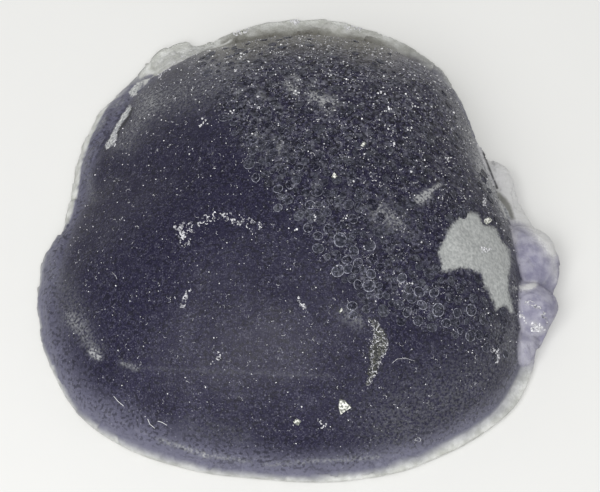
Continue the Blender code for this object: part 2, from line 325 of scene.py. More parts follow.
def square_to_disc():
    """Angle and distance from the apex of each corner of the grid."""
    side = np.linspace(-1, 1, GRID_CELLS + 1)
    u, v = (a.ravel() for a in np.meshgrid(side, side))
    ring = np.maximum(abs(u), abs(v))
    by_u = abs(u) > abs(v)
    quarter = math.pi / 4 * np.where(by_u, v, u) / np.where(ring > 0, np.where(by_u, u, v), 1)
    angle = np.where(by_u, quarter, math.pi / 2 - quarter)
    angle = (angle + np.where(np.where(by_u, u, v) < 0, math.pi, 0)) % math.tau
    crowd = math.radians(CROWD_DEG)
    inner = np.sin(np.clip(ring / INNER_RINGS, 0, 1) * crowd) / math.sin(crowd)
    outer = np.clip((ring - INNER_RINGS) / (1 - INNER_RINGS), 0, 1)
    shoulder, edge = shoulder_reach(angle), edge_reach(angle)
    return angle, shoulder * inner + (edge - shoulder) * outer


def edge_corners():
    """Indices of the grid's outer corners, anticlockwise."""
    n = GRID_CELLS + 1
    front = list(range(n))
    right = [n * i + n - 1 for i in range(1, n)]
    back = [n * n - 1 - i for i in range(1, n)]
    left = [n * (n - 1 - i) for i in range(1, n - 1)]
    return np.array(front + right + back + left)


def ring_faces(upper, lower):
    """Faces between two rings of corners that lie one below the other."""
    return np.column_stack([upper, lower, np.roll(lower, -1), np.roll(upper, -1)]).tolist()


def body_mesh_parts():
    """Corners and faces of the whole body in plan millimetres, and how many corners the skin has."""
    angle, distance = square_to_disc()
    x, y = APEX[0] + distance * np.cos(angle), APEX[1] + distance * np.sin(angle)
    skin = np.column_stack([x, y, height_at(x, y)])
    n = GRID_CELLS + 1
    corner = (n * np.arange(GRID_CELLS)[:, None] + np.arange(GRID_CELLS)).ravel()
    faces = np.column_stack([corner, corner + 1, corner + n + 1, corner + n]).tolist()
    ring = edge_corners()
    edge, edge_angle = skin[ring], angle[ring]
    inward = -np.column_stack([np.cos(edge_angle), np.sin(edge_angle)])
    tuck = around(TUCK, edge_angle)[:, None]
    points, count = [skin], len(skin)
    for step in range(1, TUCK_RINGS + 1):
        turn = step / TUCK_RINGS * math.pi / 2
        plan = edge[:, :2] + inward * tuck * (1 - math.cos(turn))
        points.append(np.column_stack([plan, edge[:, 2] * (1 - math.sin(turn))]))
        lower = np.arange(count, count + len(ring))
        faces += ring_faces(ring, lower)
        ring, count = lower, count + len(lower)
    foot = points[-1]
    for share in BREAK_RINGS:
        flat = np.array([*APEX, 0]) + (foot - (*APEX, 0)) * share
        points.append(flat)
        lower = np.arange(count, count + len(ring))
        faces += ring_faces(ring, lower)
        ring, count = lower, count + len(lower)
    faces.append(ring[::-1].tolist())
    return np.vstack(points), faces, len(skin)


points, faces, skin_count = body_mesh_parts()
print("body:", len(points), "corners,", len(faces), "faces")

# %% [markdown]
# ## Fine relief
# A grown skin is never quite smooth, and a broken face is full of small flat steps. Each corner is
# moved a little along its own normal. On the skin the move is soft noise, stronger in the blistered
# zone. On the side face and on the lobes it is made of small tilted flats, one to each cell of
# scattered points, because that is how fluorite breaks. The break below gets the same flats, but
# only upwards, so that the specimen still rests on the table.

# %% Helpers for relief
BLISTER_LINE = [
    (-14.3, 24.4), (-10.3, 10.1), (-6.4, 0.2), (-1.2, -7.1), (4.1, -13.3), (8.0, -19.4),
    (13.2, -20.4), (18.5, -20.5), (26.3, -21.3),
]


def beyond_line(x, y):
    """How far a point lies beyond the blisters' border, measured across it."""
    line = np.array(BLISTER_LINE)
    border = np.interp(x - y, line[:, 0] - line[:, 1], line[:, 0] + line[:, 1])
    return (x + y - border) / math.sqrt(2)


def eased(value, low, high):
    """0 below low, 1 above high, and a soft step between."""
    t = np.clip((value - low) / (high - low), 0, 1)
    return t * t * (3 - 2 * t)


def between(value, start, full, fading, end):
    """1 between the two middle values, 0 outside the outer ones."""
    return eased(value, start, full) * (1 - eased(value, fading, end))


def small_flats(points, size, tilt):
    """Height of tilted flats, one to each cell of scattered points."""
    heights = []
    for p in points:
        place = Vector(p) / size
        middle = noise.voronoi(place)[1][0]
        lean = noise.cell_vector(middle * 9.7)
        heights.append(tilt * (lean * 2 - Vector((1, 1, 1))).dot(place - middle))
    return np.array(heights)


def normals_of(points, faces):
    """The normal of each corner."""
    mesh = bpy.data.meshes.new("scratch")
    mesh.from_pydata(points.tolist(), [], faces)
    normals = np.empty(len(points) * 3, np.float32)
    mesh.vertices.foreach_get("normal", normals)
    bpy.data.meshes.remove(mesh)
    return normals.reshape(-1, 3)


print("border of the blisters:", len(BLISTER_LINE), "points")

# %% Where the zone, the side face and the lobes are
ZONE_EDGE = (-1.0, 2.5)  # millimetres beyond the border in which the blistered zone sets in
SIDE_EDGE = (-0.2, 0.35)  # millimetres beyond the shoulder in which the side face sets in
LOBE_EDGE = (-1.1, -0.3)  # the same for the lobes, by how far they rise over the skin
LOBE_ANGLES = (-36, -30, 30, 38)  # directions in which the side face is as pale as the lobes

x, y, z = points.T
from_apex = np.hypot(x - APEX[0], y - APEX[1])
direction = np.arctan2(y - APEX[1], x - APEX[0]) % math.tau
degrees = (np.degrees(direction) + 180) % 360 - 180
beyond_shoulder = from_apex - shoulder_reach(direction)
is_skin = np.arange(len(points)) < skin_count
zone = eased(beyond_line(x, y), *ZONE_EDGE) * is_skin
side = eased(beyond_shoulder, *SIDE_EDGE) * is_skin
right_side = ((beyond_shoulder > 0) | ~is_skin) * between(degrees, *LOBE_ANGLES)
lobe = np.maximum(eased(lobe_height(x, y) - z, *LOBE_EDGE), right_side)
print("corners in the zone:", int((zone > 0).sum()), "on the side face:", int((side > 0).sum()))

# %% Move the corners along their normals
SKIN_RELIEF = [(4.0, 0.10), (1.3, 0.035)]  # size and height of the soft noise
GROUND_RELIEF = [(1.5, 0.11), (0.7, 0.06)]  # the same in the blistered zone
FLAT_SIZE, SMALL_FLAT_SIZE = 2.6, 1.0
FLAT_TILT, SMALL_SHARE = 0.26, 0.4
LOBE_SHARE = 0.7  # how strong the flats are on the lobes
FLANGE_ANGLES = (-76, -64, -32, -26)  # directions of the thin flange, which is smooth and pale
FLANGE_SMOOTH = 0.85
LEVEL_BELOW = 1.2  # height under which the relief fades
BREAK_FLAT_SIZE, BREAK_TILT = 5.0, 0.9
BREAK_RISE, BREAK_GRAIN, BREAK_WAVE = 0.25, 0.1, 1.5
BREAK_HIGHEST = 1.2

relief = np.zeros(len(points))
for wave, height in SKIN_RELIEF:
    relief += height * noise_at(points, wave, 3.1)
for wave, height in GROUND_RELIEF:
    relief += height * noise_at(points, wave, 7.7) * zone * (1 - side)
broken = np.nonzero(is_skin & (np.maximum(side, lobe) > 0))[0]
flats = small_flats(points[broken], FLAT_SIZE, FLAT_TILT)
flats += SMALL_SHARE * small_flats(points[broken], SMALL_FLAT_SIZE, FLAT_TILT)
rough_side = side * (1 - FLANGE_SMOOTH * between(degrees, *FLANGE_ANGLES))
relief[broken] += flats * np.maximum(rough_side, LOBE_SHARE * lobe)[broken]
relief *= np.clip(z / LEVEL_BELOW, 0, 1)
points = points + relief[:, None] * normals_of(points, faces)

under = np.arange(skin_count + TUCK_RINGS * 4 * GRID_CELLS, len(points))
rise = BREAK_RISE + small_flats(points[under], BREAK_FLAT_SIZE, BREAK_TILT)
rise += BREAK_GRAIN * noise_at(points[under], BREAK_WAVE)
points[under, 2] = np.clip(rise, 0, BREAK_HIGHEST)
print("relief in mm:", relief.min().round(2), "to", relief.max().round(2))

# %% [markdown]
# ## What the material needs to know
# Colour on this stone follows the form: pale where it is thin, grey towards the edge, violet in the
# lobes, frosted in the blistered zone. The pale and the grey towards the edge are partly painted
# light, the light that shines through the thin stone. Painting all this with textures alone would not
# meet the form, so each corner stores a few numbers and the material reads them. Marks such as the
# pale patch, the white flakes and the painted shade along the cracks have outlines that are finer
# than the mesh. Their corners store how far they are from the outline, and the material cuts at zero,
# which gives a crisp edge on a coarse mesh.

# %% Distances in the picture
def line_distance(places, start, end):
    """Distance of each place in the picture from the straight line between two others."""
    start, end = np.array(start, float), np.array(end, float)
    along = end - start
    t = np.clip(((places - start) @ along) / (along @ along), 0, 1)
    return np.linalg.norm(places - start - t[:, None] * along, axis=1)


def inside_distance(places, outline):
    """Distance of each place from a closed outline in the picture, positive inside it."""
    nearest = np.full(len(places), np.inf)
    inside = np.zeros(len(places), bool)
    for (ax, ay), (bx, by) in zip(outline, outline[1:] + outline[:1]):
        nearest = np.minimum(nearest, line_distance(places, (ax, ay), (bx, by)))
        if ay != by:
            crosses = (places[:, 1] > min(ay, by)) & (places[:, 1] <= max(ay, by))
            inside ^= crosses & (places[:, 0] < ax + (places[:, 1] - ay) * (bx - ax) / (by - ay))
    return np.where(inside, nearest, -nearest)


def nearest_line(places, lines):
    """Distance of each place in the picture from the nearest of the bent lines."""
    stretches = [ends for line in lines for ends in zip(line, line[1:])]
    return np.min([line_distance(places, *ends) for ends in stretches], axis=0)


frame_points = to_frame(points)
seen_at = to_picture(frame_points)
print("the body in the picture:", seen_at.min(axis=0).round(), "to", seen_at.max(axis=0).round())

# %% [markdown]
# ## Where the stone is pale
# A low edge is pale all round, because it is thin and light shines through it. The colour paints that
# light in, on top of the real transmission. Four places are paler than their height says: the
# chipped ledge at the back left, the side face beside it, the flange at the front right and the rim
# along the back. Each is given by directions or by a line in the picture, and the palest one counts.

# %% How pale each corner is
PALE_BELOW = 0.8  # height up to which the edge is palest
PALE_REACH = [  # direction, and the height at which the paleness ends
    (0, 3.0), (30, 6.0), (60, 8.0), (90, 7.5), (112, 8.0), (125, 9.0), (145, 7.0), (180, 7.5),
    (210, 8.5), (235, 9.0), (262, 8.0), (285, 6.5), (300, 6.5), (330, 5.5),
]
DULL_ANGLES, DULL_EDGE = (180, 200, 268, 280), 0.05  # where the edge is not so pale, and by how much
LEDGE_ANGLES = (108, 114, 132, 138)
LEDGE_TEAR, LEDGE_WAVE = 5.0, 1.6  # how far noise moves the ledge's ends, in degrees, and its size
GREY_SIDE_ANGLES, GREY_SIDE = (134, 140, 158, 170), 0.52
FRINGE_ANGLES = (134, 146, 172, 184)
FRINGE = (0.5, 2.0)  # millimetres from the very edge in which the palest fringe fades
FLANGE_PALE, FLANGE_FADE = 0.90, (-1.4, 1.6)  # the fade is in millimetres beyond the shoulder
RIM_PIXELS = [(210, 43), (235, 32), (262, 24), (300, 19), (345, 24), (375, 33), (395, 42)]
RIM_PALE, RIM_FADE = 0.80, (6, 54)  # the fade is in pixels from the line

reach = around(PALE_REACH, direction)
by_height = np.clip((reach - points[:, 2]) / (reach - PALE_BELOW), 0, 1)
by_height *= 1 - DULL_EDGE * between(degrees % 360, *DULL_ANGLES)
ragged_degrees = degrees + LEDGE_TEAR * noise_at(points, LEDGE_WAVE, 5.3)
fringe = 1 - eased(edge_reach(direction) - from_apex, *FRINGE)
by_side = side * np.max([
    between(ragged_degrees, *LEDGE_ANGLES),
    GREY_SIDE * between(degrees, *GREY_SIDE_ANGLES),
    fringe * between(degrees % 360, *FRINGE_ANGLES),
], axis=0)
by_flange = FLANGE_PALE * between(degrees, *FLANGE_ANGLES) * is_skin
by_flange *= eased(beyond_shoulder, *FLANGE_FADE)
by_rim = RIM_PALE * (1 - eased(nearest_line(seen_at, [RIM_PIXELS]), *RIM_FADE)) * is_skin
# pale: how much light through the thin stone the colour paints in, on top of the real transmission
pale = np.max([by_height, by_side, by_flange, by_rim], axis=0)
print("corners at least half pale:", int((pale > 0.5).sum()))

# %% Marks on the skin, in pixels of the picture
PATCHES_PIXELS = [  # the outline of the pale patch, and of a faint small one that is left bare
    [
        (439, 251), (444, 241), (451, 226), (467, 212), (478, 214), (483, 225), (495, 228), (502, 241),
        (509, 251), (511, 263), (508, 277), (509, 295), (513, 313), (506, 306), (496, 309), (491, 295),
        (485, 285), (481, 272), (469, 269), (459, 268), (446, 271), (440, 269), (442, 263),
    ],
    [(417, 192), (419, 204), (424, 205), (430, 195), (440, 187), (443, 181), (430, 187)],
]
STREAK_BED_PIXELS = [  # the dark bed of the crust near the front right
    (369, 318), (377, 322), (385, 333), (388, 345), (386, 352), (380, 358), (377, 370), (370, 382),
    (366, 386), (368, 375), (371, 362), (369, 350), (374, 340), (375, 330),
]
FLAKES_PIXELS = [  # thin white flakes: two along the chipped corner, one beside the upper lobe
    [(138, 82), (143, 81), (142, 86), (136, 94), (131, 97), (129, 92), (133, 87)],
    [
        (130, 104), (131, 109), (127, 116), (122, 123), (119, 128), (117, 132), (117, 138), (113, 145),
        (107, 149), (105, 146), (111, 136), (115, 127), (121, 117), (127, 109),
    ],
    [(498, 199), (503, 204), (508, 211), (511, 220), (506, 218), (502, 210)],
]
LENS_PIXELS = [  # a grey glassy lens between the dome and the upper lobe
    (496, 191), (500, 193), (506, 198), (511, 206), (515, 219), (511, 220), (505, 208), (499, 200),
]
# dark lines painted along two cracks: the painted shade of their step edges
CRACK_SHADE_PIXELS = [
    [(132, 108), (129, 117), (124, 124), (119, 129), (118, 137)],
    [(483, 153), (488, 166), (493, 179), (497, 188)],
]
EDGE_HIGHLIGHT_PIXELS = [[(478, 145), (485, 163), (490, 176), (494, 185)]]  # a painted highlight: a bright line along the dome's right edge
print("patches, flakes and cracks:", len(PATCHES_PIXELS), len(FLAKES_PIXELS), len(CRACK_SHADE_PIXELS))

# %% Milky hazes
HAZES = [  # two ends in the picture, radius in pixels and strength
    ((313, 95), (331, 104), 7, 0.85), ((380, 212), (398, 222), 11, 0.50),
    ((92, 352), (99, 358), 3, 0.80), ((122, 363), (136, 368), 3, 0.45),
    ((70, 318), (96, 350), 8, 0.34), ((190, 424), (240, 436), 12, 0.12),
    ((420, 199), (426, 196), 5, 1.5), ((426, 194), (440, 184), 2, 1.1),
    ((136, 368), (330, 376), 2, 0.12), ((54, 270), (80, 320), 14, 0.18),
    ((254, 138), (282, 150), 9, 0.40), ((500, 330), (512, 350), 9, 0.22),
    ((346, 314), (358, 322), 8, 0.35), ((287, 84), (295, 91), 4, 0.80),
    ((400, 425), (500, 370), 45, 0.20), ((440, 75), (478, 150), 10, 0.36),
    ((484, 165), (512, 235), 8, 0.28), ((512, 240), (514, 330), 6, 0.26),
    ((493, 165), (518, 206), 12, 2.4), ((518, 206), (553, 248), 8, 1.1),
    ((534, 325), (541, 329), 4, 0.4), ((515, 288), (533, 286), 3, 0.6),
    ((526, 288), (535, 284), 3, 0.7), ((552, 250), (556, 280), 4, 0.35),
    ((160, 440), (205, 455), 3, 0.50), ((205, 455), (250, 462), 2.5, 0.45),
    ((265, 465), (378, 457), 3, 0.35), ((255, 92), (262, 98), 5, 0.35),
    ((112, 108), (122, 101), 2.5, 0.45), ((97, 128), (104, 120), 3, 0.45),
    ((85, 160), (92, 200), 5, 0.25), ((292, 73), (297, 79), 3, 0.80),
    ((180, 105), (230, 92), 16, 0.12), ((160, 62), (200, 50), 7, 0.30),
    ((124, 142), (150, 102), 13, 0.30), ((150, 100), (235, 66), 18, 0.26),
    ((470, 130), (486, 180), 9, 0.30),
]
haze = is_skin * sum(
    strength * np.exp(-(line_distance(seen_at, start, end) / radius) ** 2)
    for start, end, radius, strength in HAZES
)
print("strongest haze:", haze.max().round(2))

# %% Gather the numbers that the corners store
COARSE_LEAST, COARSE_FULL = 0.34, (-8, 18)  # how coarse the zone's front is, and where its back is full
CORNER_COARSE, CORNER_BACK, CORNER_LEFT = 0.5, (12, 20), (-18, -8)  # the back left, beyond the zone
WARM_ANGLES = (50, 80, 112, 135)  # directions of the brownish cast at the back
MARKS_ABOVE = 3.0  # height above which the patch and the streak's bed lie
FAR_OUTSIDE = 50.0  # a distance in pixels, stored where a mark doesn't reach

upper = is_skin & (z > MARKS_ABOVE)
coarse = zone * (COARSE_LEAST + (1 - COARSE_LEAST) * eased(y, *COARSE_FULL))
corner_coarse = CORNER_COARSE * eased(y, *CORNER_BACK) * eased(x, *CORNER_LEFT)
in_flake = np.max([inside_distance(seen_at, outline) for outline in FLAKES_PIXELS], axis=0)
numbers = {
    "pale": pale,
    "lobe": lobe,
    "coarse": np.maximum(coarse, corner_coarse),
    "patch": np.where(upper, inside_distance(seen_at, PATCHES_PIXELS[0]), -FAR_OUTSIDE),
    "bed": np.where(upper, inside_distance(seen_at, STREAK_BED_PIXELS), -FAR_OUTSIDE),
    "flake": np.where(is_skin, in_flake, -FAR_OUTSIDE),
    "lens": np.where(is_skin, inside_distance(seen_at, LENS_PIXELS), -FAR_OUTSIDE),
    "crack_shade": np.where(is_skin, nearest_line(seen_at, CRACK_SHADE_PIXELS), FAR_OUTSIDE),
    "edge_highlight": np.where(is_skin, nearest_line(seen_at, EDGE_HIGHLIGHT_PIXELS), FAR_OUTSIDE),
    "haze": haze,
    "warm": between(degrees, *WARM_ANGLES),
}
print({name: (round(float(v.min()), 2), round(float(v.max()), 2)) for name, v in numbers.items()})

# %% Make the body
def mesh_from(name, corner_points, corner_faces):
    mesh = bpy.data.meshes.new(name)
    mesh.from_pydata(np.asarray(corner_points).tolist(), [], corner_faces)
    return mesh


def store(mesh, name, values):
    """Stores one number on each corner, for the material to read by name."""
    mesh.attributes.new(name, "FLOAT", "POINT").data.foreach_set("value", np.asarray(values, np.float32))


def add_piece(name, mesh, material):
    """Puts a piece of the specimen in the scene, on the body that it moves with."""
    piece = bpy.data.objects.new(name, mesh)
    mesh.materials.append(material)
    bpy.context.scene.collection.objects.link(piece)
    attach(piece, BODY)
    return piece


body_mesh = mesh_from("fluorite_body", frame_points, faces)
body_mesh.shade_smooth()
for name, values in numbers.items():
    store(body_mesh, name, values)
skin_tree = BVHTree.FromPolygons([Vector(p) for p in frame_points], faces)
body_mesh.calc_loop_triangles()
print("body triangles:", len(body_mesh.loop_triangles))

# %% [markdown]
# ## The fluorite itself
# Fluorite is clear: its colour is in its depth, and its skin here is etched to a fine frost. So the
# surface lets part of the light through, bent by fluorite's own refractive index, 1.434, and
# scatters the rest. The inside absorbs light, a little less in the violet, which makes the middle
# dark and the edge pale. The colours mixed in by nodes are what lies on and just under the skin,
# and painted light: the grey and then white towards the edge paint more of the light that shines
# through the thin stone. Beside them are milky hazes, a brownish cast at the back, and a frost of
# specks that is densest among the blisters.

# %% Helpers for materials
def plug(tree, node, values):
    """Gives each named or numbered input of a node its value, or links another node's output to it."""
    for name, value in values.items():
        if isinstance(value, bpy.types.NodeSocket):
            tree.links.new(value, node.inputs[name])
        else:
            node.inputs[name].default_value = value


def make_node(tree, kind, inputs, **settings):
    """Adds a node with these settings and inputs."""
    made = tree.nodes.new("ShaderNode" + kind)
    for name, value in settings.items():
        setattr(made, name, value)
    plug(tree, made, inputs)
    return made


def new_material(name):
    """An empty material, its node tree, its Principled shader and its output."""
    material = bpy.data.materials.new(name)
    material.use_nodes = True
    tree = material.node_tree
    return material, tree, tree.nodes["Principled BSDF"], tree.nodes["Material Output"]


def number(tree, name):
    """The number stored on the corners under this name."""
    return make_node(tree, "Attribute", {}, attribute_name=name).outputs["Fac"]


def maths(tree, operation, *values, clamp=False):
    inputs = dict(enumerate(values))
    return make_node(tree, "Math", inputs, operation=operation, use_clamp=clamp).outputs[0]


def step_up(tree, value, low, high):
    """0 below low, 1 above high, with a soft step between."""
    inputs = {"Value": value, "From Min": low, "From Max": high}
    return make_node(tree, "MapRange", inputs, interpolation_type="SMOOTHSTEP").outputs["Result"]


def mixed(tree, share, first, second):
    """Colour from first to second as the share goes from 0 to 1."""
    return make_node(tree, "Mix", {0: share, 6: first, 7: second}, data_type="RGBA").outputs[2]


def bump(tree, height, distance, strength):
    """A normal from a height between 0 and 1, whose whole range is so many metres deep."""
    inputs = {"Height": height, "Distance": distance, "Strength": strength}
    return make_node(tree, "Bump", inputs).outputs["Normal"]


print("material helpers ready")

# %% Noise, specks and rings
def clouds(tree, size, detail=2.0, offset=0.0):
    """Cloudy noise between 0 and 1, its clouds about so many metres across."""
    place = make_node(tree, "TexCoord", {}).outputs["Object"]
    moved = make_node(tree, "VectorMath", {0: place, 1: (offset, offset, offset)}, operation="ADD")
    inputs = {"Vector": moved.outputs[0], "Scale": 1 / size, "Detail": detail}
    return make_node(tree, "TexNoise", inputs).outputs["Fac"]


def puffs(tree, size, detail, offset, low, high):
    """Separate clouds: 0 where the noise is below the low level, 1 where it is above the high one."""
    return step_up(tree, clouds(tree, size, detail, offset), low, high)


def scattered(tree, spacing, amount):
    """Distance from the nearest of many points, and 1 near the share of them that is chosen."""
    place = make_node(tree, "TexCoord", {}).outputs["Object"]
    cells = make_node(tree, "TexVoronoi", {"Vector": place, "Scale": 1 / spacing})
    chance = make_node(tree, "SeparateColor", {"Color": cells.outputs["Color"]}).outputs[0]
    return cells.outputs["Distance"], maths(tree, "LESS_THAN", chance, amount)


def specks(tree, spacing, size, amount):
    """Scattered specks: 1 on them and 0 between."""
    distance, chosen = scattered(tree, spacing, amount)
    return maths(tree, "MULTIPLY", step_up(tree, distance, size, size * 0.5), chosen)


def chips(tree, spacing, amount):
    """Angular chips that touch: 1 on those that are chosen, a little less towards their rims."""
    distance, chosen = scattered(tree, spacing, amount)
    return maths(tree, "MULTIPLY", step_up(tree, distance, 0.75, 0.25), chosen)


def rings(tree, spacing, radius, width, amount):
    """Scattered thin rings, broken where they meet: 1 on them and 0 between."""
    distance, chosen = scattered(tree, spacing, amount)
    off_ring = maths(tree, "ABSOLUTE", maths(tree, "SUBTRACT", distance, radius))
    return maths(tree, "MULTIPLY", step_up(tree, off_ring, width, 0.0), chosen)


print("specks, chips and rings ready")

# %% Frost over a skin colour
FROST_LAYERS = [  # kind, its measures, its strength where the skin is plain and coarse, and its colour
    (puffs, (0.00020, 1.0, 0.3, 0.50, 0.70), (0.14, 0.30), (0.34, 0.33, 0.50, 1)),
    (puffs, (0.00110, 3.0, 0.4, 0.48, 0.72), (0.03, 0.32), (0.34, 0.36, 0.37, 1)),
    (chips, (0.00080, 0.28), (0.00, 0.34), (0.38, 0.39, 0.43, 1)),
    (chips, (0.00042, 0.22), (0.04, 0.42), (0.46, 0.46, 0.54, 1)),
    (rings, (0.0011, 0.36, 0.05, 0.5), (0.10, 0.24), (0.50, 0.50, 0.62, 1)),
    (specks, (0.00027, 0.40, 0.30), (0.14, 0.34), (0.60, 0.60, 0.74, 1)),
    (specks, (0.00055, 0.22, 0.26), (0.30, 0.62), (0.74, 0.75, 0.84, 1)),
    (specks, (0.00120, 0.12, 0.30), (0.08, 0.75), (0.92, 0.92, 0.96, 1)),
    (puffs, (0.00045, 1.0, 0.5, 0.52, 0.36), (0.60, 0.95), (0.002, 0.002, 0.007, 1)),
]


def frosting(tree, skin, coarse):
    """Frost over a skin colour: fine grain, milk, broken rings and specks, denser where it is coarse."""
    uneven = maths(tree, "MULTIPLY_ADD", clouds(tree, 0.0028, 2.0, 0.6), 2.4, -0.2, clamp=True)
    for kind, measures, (plain, dense), colour in FROST_LAYERS:
        where = kind(tree, *measures)
        strength = maths(tree, "MULTIPLY_ADD", coarse, dense - plain, plain)
        share = maths(tree, "MULTIPLY", where, maths(tree, "MULTIPLY", uneven, strength), clamp=True)
        skin = mixed(tree, share, skin, colour)
    return skin


print("frost layers:", len(FROST_LAYERS))

# %% Marks with torn outlines, and lines
def ragged(tree, name, soft, tear):
    """1 inside the outline whose distance is stored under this name, with a torn edge."""
    coarse_tear = maths(tree, "MULTIPLY_ADD", clouds(tree, 0.0011, 2.0, 0.8), 5.0 * tear, -2.5 * tear)
    fine_tear = maths(tree, "MULTIPLY_ADD", clouds(tree, 0.00028, 1.0, 0.9), 6.0 * tear, -3.0 * tear)
    distance = maths(tree, "ADD", number(tree, name), maths(tree, "ADD", coarse_tear, fine_tear))
    return step_up(tree, distance, -soft, soft)


def along_line(tree, name, half_width, strength):
    """A share that peaks on the lines stored under this name, and breaks up a little."""
    on_line = step_up(tree, number(tree, name), half_width, 0.2 * half_width)
    breaks = puffs(tree, 0.0006, 2.0, 1.3, 0.10, 0.45)
    return maths(tree, "MULTIPLY", on_line, maths(tree, "MULTIPLY", breaks, strength))


print("marks and lines ready")

# %% The body's material: pairs of colours that a noise mixes, and single ones
FLUORITE_IOR = 1.434
ABSORB_COLOUR, ABSORB_DENSITY = (0.44, 0.40, 0.58, 1), 190.0
DEEP_VIOLET = (0.008, 0.006, 0.030, 1), (0.020, 0.018, 0.052, 1)
# the grey and the white towards the edge are partly painted light that shines through the thin stone
EDGE_GREY = (0.205, 0.205, 0.285, 1), (0.19, 0.18, 0.145, 1)
THIN_LIT_WHITE = (0.66, 0.67, 0.62, 1), (0.97, 0.98, 0.95, 1)
LOBE_VIOLET = (0.31, 0.30, 0.42, 1), (0.53, 0.52, 0.62, 1)
MILK = (0.24, 0.25, 0.27, 1), (0.95, 0.95, 0.94, 1)
BED_OLIVE = (0.015, 0.017, 0.012, 1), (0.16, 0.165, 0.13, 1)
PATCH_CHALK = (0.50, 0.52, 0.51, 1), (0.74, 0.76, 0.74, 1)
FLAKE_CHALK = (0.34, 0.36, 0.38, 1), (0.98, 0.99, 0.97, 1)
LENS_GREY = (0.35, 0.35, 0.32, 1)
# painted shade: a dark line along each of the cracks
CRACK_SHADE = (0.006, 0.006, 0.010, 1)
# painted highlight along the dome's right edge
EDGE_HIGHLIGHT_WHITE = (0.90, 0.90, 0.92, 1)


def stone_colour(tree, coarse, broad, fine):
    """The stone by its thickness: deep violet, grey, then white, partly painted light through the thin
    edge, with frost and violet lobes.
    """
    wave = maths(tree, "MULTIPLY_ADD", broad, 0.20, -0.10)
    pale = maths(tree, "ADD", number(tree, "pale"), wave, clamp=True)
    skin = mixed(tree, broad, *DEEP_VIOLET)
    grey = mixed(tree, number(tree, "warm"), *EDGE_GREY)
    # grey then white towards the edge: partly painted light that shines through the thin stone
    skin = mixed(tree, step_up(tree, pale, 0.12, 0.80), skin, grey)
    thin = mixed(tree, step_up(tree, fine, 0.3, 0.7), *THIN_LIT_WHITE)
    skin = mixed(tree, step_up(tree, pale, 0.72, 1.0), skin, thin)
    skin = mixed(tree, step_up(tree, pale, 0.9, 0.5), skin, frosting(tree, skin, coarse))
    lobes = mixed(tree, step_up(tree, fine, 0.3, 0.7), *LOBE_VIOLET)
    return mixed(tree, number(tree, "lobe"), skin, lobes)


def milky(tree, skin, wisps):
    """Adds the hazes, torn into wisps on the dome and whole on the lobes."""
    lobe = number(tree, "lobe")
    veil_share = maths(tree, "MAXIMUM", maths(tree, "MULTIPLY_ADD", wisps, 1.4, 0.15), lobe)
    veil = maths(tree, "MULTIPLY", number(tree, "haze"), veil_share, clamp=True)
    veil_light = maths(tree, "MAXIMUM", lobe, maths(tree, "MULTIPLY", veil, 0.35))
    return mixed(tree, veil, skin, mixed(tree, veil_light, *MILK))


def marked(tree, skin, wisps):
    """Adds the streak's bed, the patch, the lens, the cracks' painted shade, the flakes and a painted
    edge highlight.
    """
    bed = maths(tree, "MULTIPLY", ragged(tree, "bed", 1.5, 1.0), 0.75)
    skin = mixed(tree, bed, skin, mixed(tree, wisps, *BED_OLIVE))
    chalk = puffs(tree, 0.0004, 3.0, 0.5, 0.3, 0.7)
    patch = maths(tree, "MULTIPLY", ragged(tree, "patch", 2.6, 0.9), 0.93)
    skin = mixed(tree, patch, skin, mixed(tree, chalk, *PATCH_CHALK))
    skin = mixed(tree, ragged(tree, "lens", 2.0, 0.2), skin, LENS_GREY)
    # painted shade along the cracks
    skin = mixed(tree, along_line(tree, "crack_shade", 2.2, 0.9), skin, CRACK_SHADE)
    skin = mixed(tree, ragged(tree, "flake", 0.8, 0.55), skin, mixed(tree, chalk, *FLAKE_CHALK))
    # painted highlight: a bright line along the dome's right edge
    return mixed(tree, along_line(tree, "edge_highlight", 2.0, 0.8), skin, EDGE_HIGHLIGHT_WHITE)


def frosted_fluorite():
    material, tree, shader, output = new_material("frosted_fluorite")
    broad, fine = clouds(tree, 0.006), clouds(tree, 0.0012, 3.0, 0.3)
    coarse = number(tree, "coarse")
    wisps = puffs(tree, 0.00032, 3.0, 0.7, 0.34, 0.68)
    skin = stone_colour(tree, coarse, broad, fine)
    skin = marked(tree, milky(tree, skin, wisps), wisps)
    grain = maths(tree, "MULTIPLY", clouds(tree, 0.00028), maths(tree, "MULTIPLY_ADD", coarse, 0.7, 0.3))
    plug(tree, shader, {
        "Base Color": skin,
        "Roughness": maths(tree, "MULTIPLY_ADD", fine, 0.12, 0.40),
        "IOR": FLUORITE_IOR,
        "Specular IOR Level": 0.15,
        "Transmission Weight": 0.38,
        "Normal": bump(tree, grain, 0.00014, 0.9),
    })
    depth = make_node(tree, "VolumeAbsorption", {"Color": ABSORB_COLOUR, "Density": ABSORB_DENSITY})
    tree.links.new(depth.outputs[0], output.inputs["Volume"])
    return material


body_piece = add_piece("fluorite_body", body_mesh, frosted_fluorite())
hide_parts(NODE)
print("material nodes:", len(body_piece.active_material.node_tree.nodes))

# %% [markdown]
# ## Standing small things on the skin
# Thousands of small growths sit on the dome. One object for each would be slow, so a small pattern
# shape is copied many times into one mesh with numpy. Each copy needs a place, an upright direction
# and a size. Places come from scattering in plan, or from rays through the picture.

# %% Helpers for many small copies
def on_skin(x, y):
    """The point of the fine skin over a plan point, and the normal there."""
    start = Vector(to_frame([x, y, 2 * DOME_HEIGHT])[0])
    place, normal, _, _ = skin_tree.ray_cast(start, Vector((0, 0, -1)))
    return place, normal


def under_pixel(pixel):
    """The point of the skin that shows at a place in the picture, and the normal there."""
    place, normal, _, _ = skin_tree.ray_cast(Vector(eye), ray_through(pixel))
    return place, normal


